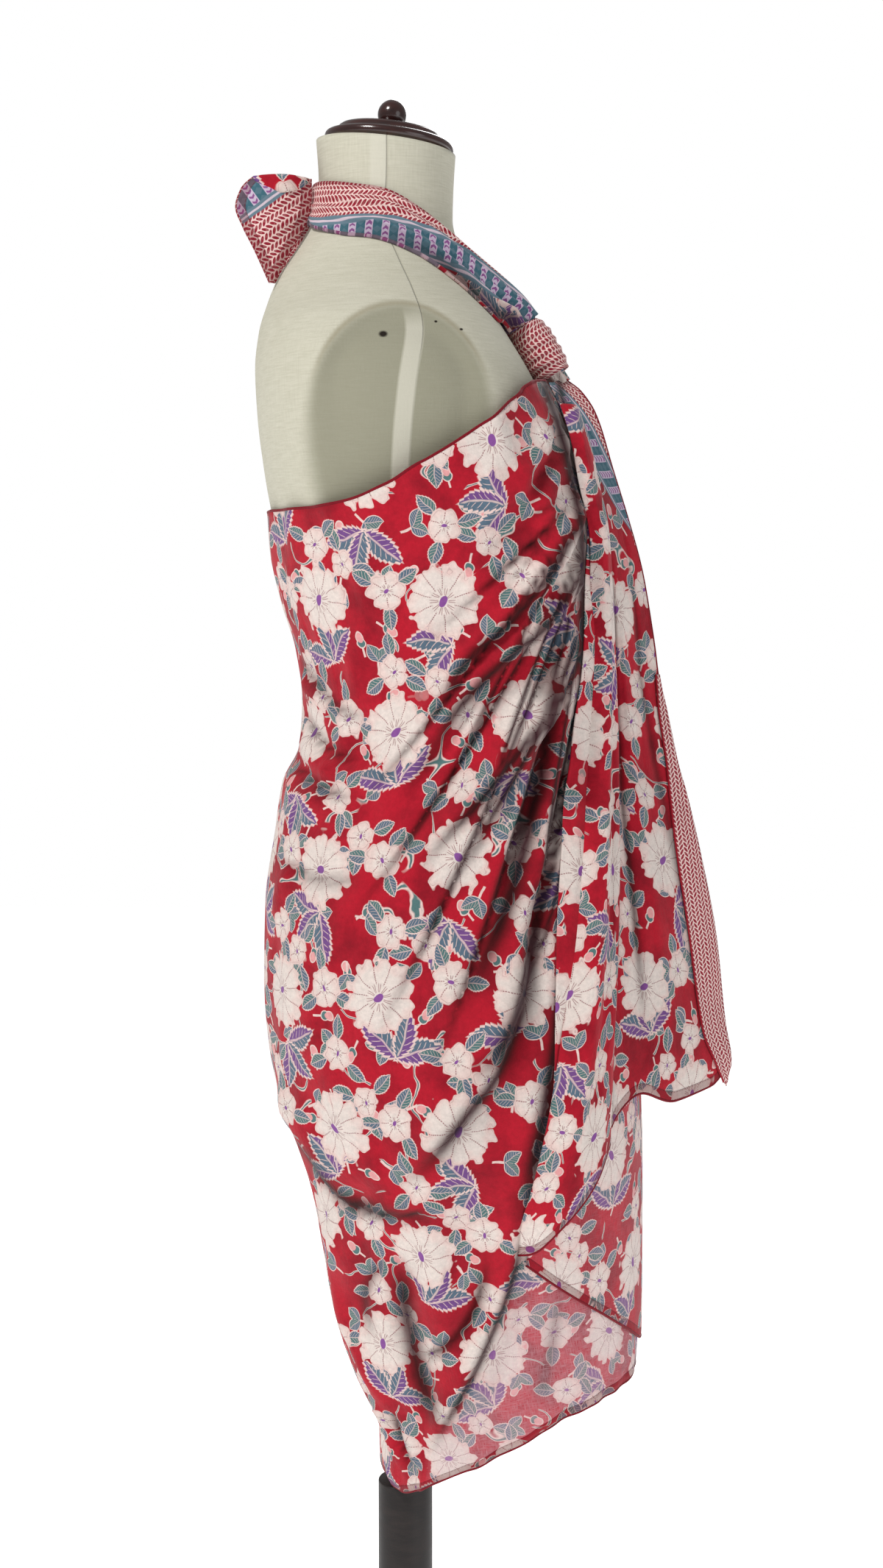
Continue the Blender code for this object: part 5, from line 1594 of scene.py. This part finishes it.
def makeFalls(bordered, chevron, rolled):
    form = fallCloth
    share = np.linspace(0.0, 1.0, form["columns"])
    hems = readTable(form["hem"], share)
    for name, node, near, shift in (
        ("sarong_front_fall", "cascade", True, (0.413, 0.057)),
        ("sarong_far_fall", "far_cascade", False, (0.790, 0.310)),
    ):
        z = gridHeights(form["top"] + form["topRise"] * share, hems["near" if near else "far"], form["rows"])
        points = fallPoints(share[None, :], z, near, True)
        cloth = clothMap(points, middle=1.0, shift=shift)
        fromEdge = readTable(form["borderStart"], z)["away"] + shift[0] - cloth[..., 0]
        border = np.stack([cloth[..., 1], fromEdge], axis=-1)
        # Painted shade for the 'deep' tint: in the fall's creases, and on the near fall beside the inner
        # fold
        deep = foldShade(form["creases"], np.broadcast_to(share, z.shape), z)
        if near:
            place, width, strength = form["besideFold"]
            beside = points[..., 0] - readTable(innerFold["sections"], z)["right"]
            deep = np.maximum(deep, strength * bell(beside - place, width))
        maps = {"hem": footHemMap(cloth), "border": border, "deep": deep}
        fall = addShell(name, points, form["wall"], bordered, cloth, flip=near, **maps)
        settle(fall, node)
        out = sheetNormals(points, near)
        outline = np.concatenate([points[-1], points[:-1, -1][::-1]])
        square = np.concatenate([out[-1], out[:-1, -1][::-1]])
        hem = addRolledEdge(f"{name}_hem", outline, square, rolled)
    # The printed border turned out along the front edge
    rows, columns = form["stripGrid"]
    across = np.linspace(0.0, 1.0, columns)[None, :]
    foot = np.interp(across, np.linspace(0.0, 1.0, len(form["stripFoot"])), form["stripFoot"])
    z = gridHeights(form["stripTop"], foot, rows)
    section = readTable(form["sections"], z)
    bend = wrapPoints(-section["bendAngle"], z, form["nearOffset"])[..., 0]
    reach = np.maximum(section["edgeX"] - bend, 0.01)
    inner = 1.0 - form["stripShareScale"] * (section["edgeX"] - section["stripX"]) / reach
    points = stripPoints(inner + (1.0 - inner) * across, z)
    cloth = clothMap(points, middle=0.0)
    border = np.stack([cloth[..., 1], cloth[..., 0] + form["stripMapStart"]], axis=-1)
    wall = form["stripWall"]
    strip = addShell("sarong_turned_border", points, wall, chevron, cloth, border=border, flip=True)
    settle(strip, "edge_strip")
    line = points[:, 0]
    out = sheetNormals(points, True)[:, 0]
    edge = addRolledEdge("sarong_turned_border_hem", line, out, chevron, form["stripHem"], "border_cotton")
    print("falls done")


innerFold = {
    "sections": (
        ("z", "left", "right", "bulge"),
        (1.27, 0.107, 0.116, 0.003),
        (1.215, 0.123, 0.134, 0.004),
        (1.15, 0.133, 0.145, 0.005),
        (1.06, 0.134, 0.15, 0.006),
        (0.96, 0.129, 0.1515, 0.008),
        (0.9, 0.124, 0.1505, 0.0095),
        (0.826, 0.115, 0.1485, 0.011),
        (0.753, 0.104, 0.146, 0.012),
        (0.7, 0.093, 0.145, 0.011),
        (0.655, 0.0835, 0.145, 0.009),
        (0.64, 0.0835, 0.145, 0.008),
    ),
    "hem": (
        ("share", "z"),
        (0.0, 0.645), (0.1, 0.647), (0.45, 0.674), (0.72, 0.702), (0.9, 0.72), (1.0, 0.723),
    ),
    "top": 1.2600,
    "topLift": 0.0025,
    "topLiftFrom": (1.20, 1.25),
    "offset": 0.0086,
    "rollIn": 0.0052,
    "rollShare": 0.20,
    "cutShare": 0.72,        # it narrows towards the tie
    "columns": 60,
    "rows": 240,
    "wall": 0.0008,
    "creases": (
        ("ridge", 0.0022, 0.1, ((0.3, 1.2), (0.34, 1.0), (0.3, 0.85), (0.26, 0.7))),
        ("trough", 0.0022, 0.08, ((0.55, 1.15), (0.58, 0.95), (0.52, 0.8), (0.5, 0.7))),
        ("ridge", 0.002, 0.08, ((0.78, 1.1), (0.76, 0.9), (0.74, 0.76))),
    ),
}


def makeInnerFold(floral, rolled):
    form = innerFold
    share = np.linspace(0.0, 1.0, form["columns"])
    z = gridHeights(form["top"], readTable(form["hem"], share)["z"], form["rows"])
    section = readTable(form["sections"], z)
    across = np.broadcast_to(share[None, :], z.shape)
    x = section["left"] + (section["right"] - section["left"]) * across
    bulge = section["bulge"] * np.sin(math.pi * across) ** 0.8
    edges = smoothStep(0.0, 0.12, across) * smoothStep(1.0, 0.88, across)
    bulge = bulge + foldRise(form["creases"], across, z) * edges
    lift = form["topLift"] * smoothStep(*form["topLiftFrom"], z)
    # Its left side is a fold that rolls in against the wrap
    roll = form["rollIn"] * (1.0 - smoothStep(0.0, form["rollShare"], across))
    points = wrapPoints(angleAt(x, z), z, form["offset"] + lift + bulge - roll)
    cloth = clothMap(points, shift=(0.613, 0.181))
    hemMap = footHemMap(cloth)
    fold = addShell("sarong_inner_fold", points, form["wall"], floral, cloth, hem=hemMap, flip=True)
    settle(fold, "front_fold")
    hem = addRolledEdge("sarong_inner_fold_hem", points[-1], sheetNormals(points, True)[-1], rolled)
    print("inner fold done")


foldedUnder = {
    "hem": (
        ("share", "z"),
        (0.0, 0.533), (0.2, 0.54), (0.45, 0.564), (0.65, 0.588), (0.85, 0.614), (1.0, 0.636),
    ),
    "side": (
        ("z", "x"),
        (0.6, 0.087), (0.655, 0.092), (0.7, 0.102), (0.753, 0.112), (0.8, 0.119),
    ),
    "top": 0.7950,
    "frontAngle": 6.0,
    "offset": 0.0028,
    "columns": 90,
    "rows": 70,
    "wall": 0.0008,
    "pale": 0.30,
}


def makeFoldedUnder(floral, rolled):
    form = foldedUnder
    share = np.linspace(0.0, 1.0, form["columns"])[None, :]
    z = gridHeights(form["top"], readTable(form["hem"], share)["z"], form["rows"])
    side = angleAt(readTable(form["side"], z)["x"], z)
    angle = form["frontAngle"] + (side - form["frontAngle"]) * share
    points = wrapPoints(angle, z, form["offset"])
    cloth = clothMap(points, middle=0.0, shift=(0.271, 0.437))
    # The folded layer is painted a little paler all over, as painted light through one thin layer
    maps = {"hem": footHemMap(cloth), "pale": np.full(z.shape, form["pale"])}
    layer = addShell("sarong_folded_under", points, form["wall"], floral, cloth, **maps)
    settle(layer, "under_flap")
    hem = addRolledEdge("sarong_folded_under_hem", points[-1], sheetNormals(points)[-1], rolled)
    print("folded layer done")


# The straps, the tie at the chest and the tie behind the neck

strapCloth = {
    "stations": (
        ("upX", "upY", "upZ", "lowX", "lowY", "lowZ", "bulge"),
        (0.101, 0.003, 1.3355, 0.081, 0.025, 1.319, 0.005),
        (0.088, 0.009, 1.348, 0.075, 0.037, 1.325, 0.007),
        (0.0655, 0.022, 1.367, 0.064, 0.05, 1.326, 0.006),
        (0.0366, 0.04, 1.389, 0.045, 0.065, 1.346, 0.005),
        (0.0155, 0.051, 1.404, 0.018, 0.074, 1.366, 0.004),
        (-0.0105, 0.056, 1.418, -0.015, 0.072, 1.3805, 0.0035),
        (-0.04, 0.048, 1.424, -0.046, 0.062, 1.386, 0.003),
        (-0.059, 0.031, 1.428, -0.066, 0.04, 1.394, 0.0022),
        (-0.067, 0.016, 1.429, -0.071, 0.018, 1.401, 0.0016),
        (-0.069, 0.0015, 1.429, -0.073, 0.0015, 1.403, 0.0012),
    ),
    "columns": 190,
    "rows": 70,
    "wall": 0.0010,
    "gap": 0.0011,
    "rollRadius": 0.0016,
    "centreX": -0.013,
    "outRise": 0.025,
    "lowShade": 0.85,
    "doubleBulge": 0.35,
    "gatherStrength": (0.55, 1.5),        # at the nape, and what the tie adds
    # Which part of the border shows, from the ring to the nape
    "border": (
        ("along", "start", "span"),
        (0.0, 0.052, 0.06), (0.15, 0.05, 0.058), (0.3, 0.046, 0.052), (0.45, 0.036, 0.048),
        (0.6, 0.03, 0.04), (0.8, 0.027, 0.033), (1.0, 0.027, 0.032),
    ),
    # Gathers along the strap: height, how many across, how they drift and start
    "gathers": (
        (0.0011, 3.0, 0.7, 0.4),
        (0.0007, 5.0, -1.1, 2.1),
        (0.00045, 8.0, 1.6, 4.4),
    ),
}


def makeStraps(bordered):
    form = strapCloth
    rows = np.array(form["stations"][1:], float)
    upper = smoothRoute(rows[:, 0:3], form["columns"])
    lower = smoothRoute(rows[:, 3:6], form["columns"])
    bulge = smoothRoute(rows[:, 6:7], form["columns"])[:, 0]
    across = np.linspace(0.0, 1.0, form["rows"])[:, None]
    along = np.linspace(0.0, 1.0, form["columns"])[None, :]
    straps = (("sarong_near_strap", "near_strap", -1.0), ("sarong_far_strap", "far_strap", 1.0))
    for name, node, side in straps:
        points = upper[None] * (1 - across[..., None]) + lower[None] * across[..., None]
        out = points - np.array([form["centreX"], 0.0, 0.0])
        out[..., 2] = form["outRise"]
        rise = bulge * (np.sin(math.pi * across) + form["doubleBulge"] * np.sin(3 * math.pi * across))
        least, more = form["gatherStrength"]
        strength = (least + more * (1 - along) ** 1.5) * np.sin(math.pi * across) ** 0.4
        for height, count, drift, start in form["gathers"]:
            phase = 2 * math.pi * count * across + drift * 6 * along + start + side
            rise = rise + height * strength * np.sin(phase + 0.8 * np.sin(9 * along + start))
        points = pushOffTorso(points + unit(out) * rise[..., None], form["wall"] + form["gap"])
        points[..., 1] *= side
        cloth = clothMap(points, shift=(0.15, 0.22))
        shown = readTable(form["border"], np.broadcast_to(along, rise.shape))
        border = np.stack([cloth[..., 0], shown["start"] + shown["span"] * across], axis=-1)
        # Painted shade along the strap's lower edge, strongest towards the ring
        deep = form["lowShade"] * smoothStep(0.66, 0.90, across) * smoothStep(0.75, 0.30, along)
        flip = side > 0
        strap = addShell(name, points, form["wall"], bordered, cloth, border=border, deep=deep, flip=flip)
        settle(strap, node)
        out = sheetNormals(points, flip)
        for title, row in (("top", 0), ("low", -1)):
            roll = f"{name}_{title}_roll"
            hem = addRolledEdge(roll, points[row], out[row], bordered, form["rollRadius"], "border_cotton")
            station = faceCorners(hem.data) // rolledEdge["sides"]
            onStrap = np.stack([cloth[row, station, 0], border[row, station, 1]], axis=-1)
            writeMap(hem.data, "Border", onStrap)
    print("straps done")


chestTie = {
    "centre": Vector((0.1035, 0.0, 1.3065)),
    "axis": Vector((0.55, 0.0, -0.835)).normalized(),
    "length": 0.044,
    "halfWidth": 0.0245,
    "halfDepth": 0.0158,
    "columns": 150,
    "rows": 48,
    "wall": 0.0011,
    "barrel": (0.80, 0.20),        # its width at the ends, and what the middle adds
    "crease": 0.03,
    "turns": 2,
    "lip": 0.0009,
    "tight": 0.0006,
    "clearance": 0.0003,
    "borderStart": 0.002,
    "gatherInset": 0.0034,
    "gatherStep": 0.0012,
    "gatherFolds": 7,
    "gatherRidge": 0.0026,
    "gatherRows": 40,
    "gatherStart": 0.05,
    "gatherEnd": 1.20,
}


def tiePoint(along, turn, inset):
    # A point round the tie: along 0 is its upper end and 1 its lower
    form = chestTie
    widthways = Vector((0.0, 1.0, 0.0))
    outwards = widthways.cross(form["axis"]).normalized()
    middle = min(max(along, 0.0), 1.0)
    ends, more = form["barrel"]
    size = ends + more * math.sin(math.pi * middle) ** 0.6
    size = size * (1.0 + form["crease"] * math.sin(3 * turn + 4 * middle))
    wide = (form["halfWidth"] * size - inset) * math.cos(turn)
    deep = (form["halfDepth"] * size - inset) * math.sin(turn)
    centre = form["centre"] + form["axis"] * (form["length"] * (along - 0.5))
    return centre + widthways * wide + outwards * deep


def makeChestTie(chevron, floral):
    form = chestTie
    points = np.zeros((form["rows"], form["columns"], 3))
    for row, along in enumerate(np.linspace(0.0, 1.0, form["rows"])):
        for column in range(form["columns"]):
            turn = 2 * math.pi * column / form["columns"]
            # Turns of the cloth, each with a soft lip, and creases drawn tight round them
            wound = (along * form["turns"] + 0.06 * math.sin(turn)) % 1.0
            lip = form["lip"] * (1 - abs(2 * wound - 1)) ** 0.5
            tight = form["tight"] * math.sin(11 * along * math.pi + 2 * math.sin(turn))
            points[row, column] = tiePoint(along, turn, -lip - tight)
    points = pushOffTorso(points, form["clearance"])
    cloth = clothMap(points, middle=0.0, closed=True)
    border = cloth + np.array([0.0, form["borderStart"]])
    wall = form["wall"]
    ring = addShell("sarong_ring", points, wall, chevron, cloth, border=border, closed=True, flip=True)
    settle(ring, "knot_ring")
    count = form["gatherFolds"] * 14
    rings = []
    for along in np.linspace(form["gatherStart"], form["gatherEnd"], form["gatherRows"]):
        ring = []
        for turn in np.linspace(0.0, 2 * math.pi, count, endpoint=False):
            ridge = form["gatherRidge"] * (0.5 - 0.5 * math.cos(form["gatherFolds"] * turn))
            ring.append(tuple(tiePoint(along, turn, form["gatherInset"] + ridge)))
        rings.append(ring)
    gather = addLoft("sarong_gather", rings, floral)
    mapLoft(gather, count, form["gatherStep"])
    settle(gather, "gather")
    print("chest tie done")


def mapLoft(piece, count, step, border=1.0):
    # Maps in metres for a lofted piece of cloth
    vertex = faceCorners(piece.data)
    around = (vertex % count) * step
    along = (vertex // count) * step
    maps = {"Cloth": (around, along), "Hem": (around, along * 0 + 1.0), "Border": (around, along + border)}
    for title, pair in maps.items():
        writeMap(piece.data, title, np.stack(pair, axis=-1))


neckTie = {
    "centre": (-0.0842, 0.0, 1.4170),
    "radii": (0.0115, 0.0270, 0.0170),
    "knotRings": 40,
    "knotSegments": 64,
    "knotCreases": (0.05, 0.03),
    "knotStep": 0.0014,
    "tail": (
        ("z", "backX", "neckX", "backY", "neckY"),
        (1.435, -0.103, -0.07, 0.033, 0.0284),
        (1.431, -0.111, -0.069, 0.035, 0.0284),
        (1.422, -0.12, -0.069, 0.037, 0.0284),
        (1.409, -0.124, -0.07, 0.038, 0.0284),
        (1.395, -0.119, -0.075, 0.038, 0.0294),
        (1.378, -0.1105, -0.084, 0.038, 0.032),
        (1.354, -0.1, -0.096, 0.037, 0.035),
    ),
    "tailTop": 1.4310,
    "columns": 60,
    "rows": 80,
    "root": (-0.0690, 0.0284, 1.4180),
    "belly": 0.006,
    "bellyFrom": (1.36, 1.40),
    "creaseCentre": (-0.060, 1.412),
    "creases": (0.0008, 11.0),        # height, and how many to a radian
    "farShrink": 0.80,
    "farSeat": 0.0009,
    "wall": 0.0008,
    "gap": 0.0016,
    # The stripes cross the tail on this slant from its tip
    "tip": (-0.0985, 1.3540),
    "slant": math.radians(36),
    "tipStart": 0.008,
    "hemRadius": 0.0008,
    "hemBorder": 0.004,
    # The top edge curls over and shows the red inner side
    "curlGrid": (14, 50),
    "curlEnds": (0.04, 0.98),
    "curlTurn": math.pi * 0.95,
    "curlDepth": 0.0085,
    "curlRise": (0.55, 0.75),
    "curlBack": 0.002,
    "curlOut": (0.0012, 0.0032),
    "curlWall": 0.0006,
}


def makeNeckKnot(chevron):
    form = neckTie
    count = form["knotSegments"]
    slow, quick = form["knotCreases"]
    rings = []
    for step in reversed(range(1, form["knotRings"])):
        turn = math.pi * step / form["knotRings"]
        around = np.linspace(0.0, 2 * math.pi, count, endpoint=False)
        crease = 1.0 + slow * np.sin(2 * around + 2.5 * turn) + quick * np.sin(5 * around - 4 * turn)
        wide = form["radii"][0] * math.sin(turn) * crease * np.cos(around)
        high = form["radii"][2] * math.sin(turn) * crease * np.sin(around)
        side = np.full(count, form["radii"][1] * math.cos(turn))
        rings.append(np.array(form["centre"]) + np.stack([wide, side, high], axis=-1))
    knot = addLoft("sarong_neck_knot", rings, chevron)
    mapLoft(knot, count, form["knotStep"], 0.0)
    settle(knot, "neck_knot")


def makeCurl(name, points, share, side, size, floral):
    # The curled edge along the top of a tail
    form = neckTie
    rows, columns = form["curlGrid"]
    spot = np.linspace(*form["curlEnds"], columns)
    line = np.stack([np.interp(spot, share, points[0, :, axis]) for axis in range(3)], axis=-1)
    turn = np.linspace(0.0, 1.0, rows)[:, None] * form["curlTurn"]
    depth = form["curlDepth"] * np.sin(math.pi * spot) ** 0.6 * size
    rise, fall = form["curlRise"]
    out, more = form["curlOut"]
    roll = np.zeros((rows, columns, 3))
    roll[..., 0] = line[:, 0] - form["curlBack"] * np.sin(turn)
    roll[..., 1] = line[:, 1] + side * (out + more * np.sin(turn))
    roll[..., 2] = line[:, 2] + depth * (rise * np.sin(turn) - fall * (1 - np.cos(turn)))
    cloth = clothMap(roll, shift=(0.7, 0.1))
    curl = addShell(f"{name}_curl", roll, form["curlWall"], floral, cloth, flip=side < 0)
    settle(curl)
    return curl, cutSize(roll)


def makeNeckTie(chevron, bordered, floral):
    makeNeckKnot(chevron)
    form = neckTie
    root = np.array(form["root"])
    share = np.linspace(0.0, 1.0, form["columns"])[None, :]
    z = gridHeights(form["tailTop"], form["tail"][-1][0], form["rows"])
    section = readTable(form["tail"], z)
    x = section["backX"] + (section["neckX"] - section["backX"]) * share
    y = section["backY"] + (section["neckY"] - section["backY"]) * share
    y = y + form["belly"] * np.sin(math.pi * share) * smoothStep(*form["bellyFrom"], z)
    z = np.broadcast_to(z, x.shape)
    # Creases gather towards the knot
    height, count = form["creases"]
    pull = np.arctan2(z - form["creaseCentre"][1], x - form["creaseCentre"][0])
    y = y + height * np.sin(pull * count) * smoothStep(0.0, 0.35, share) * smoothStep(1.0, 0.75, share)
    flat = np.stack([x, y, z], axis=-1)
    slant = form["slant"]
    tipX, tipZ = form["tip"]
    fromTip = (z - tipZ) * math.cos(slant) - (x - tipX) * math.sin(slant)
    alongTip = (x - tipX) * math.cos(slant) + (z - tipZ) * math.sin(slant)
    border = np.stack([alongTip, fromTip + form["tipStart"]], axis=-1)
    tails = (
        ("sarong_neck_tail", "neck_tail", -1.0, 1.0, 0.0),
        ("sarong_far_tail", "far_tail", 1.0, form["farShrink"], form["farSeat"]),
    )
    for name, node, side, size, seat in tails:
        flip = side > 0
        points = root + (flat - root) * size
        points[..., 1] -= seat
        points = pushOffTorso(points, form["gap"])
        points[..., 1] *= side
        cloth = clothMap(points, shift=(0.33, 0.52))
        fromSide = np.minimum(share, 1.0 - share) * np.linalg.norm(points[:, -1:] - points[:, :1], axis=-1)
        hemMap = np.stack([cloth[..., 1], fromSide], axis=-1)
        tail = addShell(name, points, form["wall"], bordered, cloth, hem=hemMap, border=border, flip=flip)
        settle(tail, node)
        out = sheetNormals(points, flip)
        outline = np.concatenate([points[:-1, 0], points[-1], points[:-1, -1][::-1]])
        square = np.concatenate([out[:-1, 0], out[-1], out[:-1, -1][::-1]])
        looks = (chevron, form["hemRadius"], "border_cotton", form["hemBorder"])
        hem = addRolledEdge(f"{name}_hem", outline, square, *looks)
        curl, curlSize = makeCurl(name, points, share[0], side, size, floral)
    print("neck tie done")


# The studio

studioLooks = {
    "cameraPlace": (0.029, -1.66, 1.119),
    "cameraPitch": math.radians(85.0),
    "lens": 48.99,
    "sensor": 36.0,
    "white": (1.0, 1.0, 1.0, 1.0),
    "worldSeen": 1.0,
    "worldLight": 0.30,
    "floorColours": (paint(236, 236, 235), paint(226, 226, 226)),
    "floorGlow": 0.78,
    "floorReach": 6.0,
    "floorDrop": 0.0005,
    "lights": (
        # name, place, size, power, colour
        ("key", (-1.5, -1.8, 3.5), 0.8, 64.0, (1.0, 0.985, 0.96)),
        ("fill", (2.2, -2.0, 1.5), 1.8, 9.5, (0.97, 0.98, 1.0)),
        ("back", (0.6, 2.2, 2.4), 1.4, 20.0, (1.0, 1.0, 1.0)),
    ),
    "aim": (0.03, 0.0, 0.95),
}


def makeStudio():
    looks = studioLooks
    scene = bpy.context.scene
    camera = placeObject("camera", bpy.data.cameras.new("camera"))
    camera.data.sensor_width = looks["sensor"]
    camera.data.lens = looks["lens"]
    camera.location = looks["cameraPlace"]
    camera.rotation_euler = (looks["cameraPitch"], 0.0, 0.0)
    scene.camera = camera
    scene.view_settings.view_transform = "Standard"
    # The backdrop looks white, and lights the cloth more softly than that
    scene.world = bpy.data.worlds.new("studio")
    scene.world.use_nodes = True
    tree = scene.world.node_tree
    background = tree.nodes["Background"]
    background.inputs["Color"].default_value = looks["white"]
    seen = Wire(tree, addNode(tree, "ShaderNodeLightPath").outputs["Is Camera Ray"])
    strength = seen.scaled(looks["worldSeen"] - looks["worldLight"], looks["worldLight"])
    plug(tree, background.inputs["Strength"], strength)
    for name, place, size, power, colour in looks["lights"]:
        light = bpy.data.lights.new(name, "AREA")
        light.shape = "DISK"
        light.size = size
        light.energy = power
        light.color = colour
        lamp = placeObject(name, light)
        lamp.location = place
        lamp.rotation_euler = (Vector(looks["aim"]) - Vector(place)).to_track_quat("-Z", "Y").to_euler()
    material, tree, shader = newMaterial("pale floor")
    colour = mixColour(tree, noise(tree, ownPlace(tree), 3.0, 3.0) * 0.12, *looks["floorColours"])
    plug(tree, shader.inputs["Base Color"], colour)
    shader.inputs["Roughness"].default_value = 0.9
    shader.inputs["Emission Color"].default_value = looks["white"]
    shader.inputs["Emission Strength"].default_value = looks["floorGlow"]
    far = looks["floorReach"]
    corners = ((-far, -far, 0), (far, -far, 0), (far, far, 0), (-far, far, 0))
    floor = addMesh("floor", corners, [(0, 1, 2, 3)], material, False)
    floor.location.z = -looks["floorDrop"]


def main():
    floral = makeCloth("block printed cotton")
    rolled = makeCloth("rolled hem cotton", floral=False, plain=printLooks["groundDark"])
    bordered = makeCloth("printed cotton with its border", border=True)
    chevron = makeCloth("leaf mark border cotton", floral=False, border=True, plain=printLooks["ground"])
    linen = makeLinen()
    wood = makeWood()
    metal = makeMetal()
    print("finishes done")
    makeTorso(linen)
    makeStand(wood, metal)
    print("form done")
    makeWrap(floral, rolled)
    makeFalls(bordered, chevron, rolled)
    makeInnerFold(floral, rolled)
    makeFoldedUnder(floral, rolled)
    makeStraps(bordered)
    makeChestTie(chevron, floral)
    makeNeckTie(chevron, bordered, floral)
    makeStudio()
    bpy.context.view_layer.update()


main()
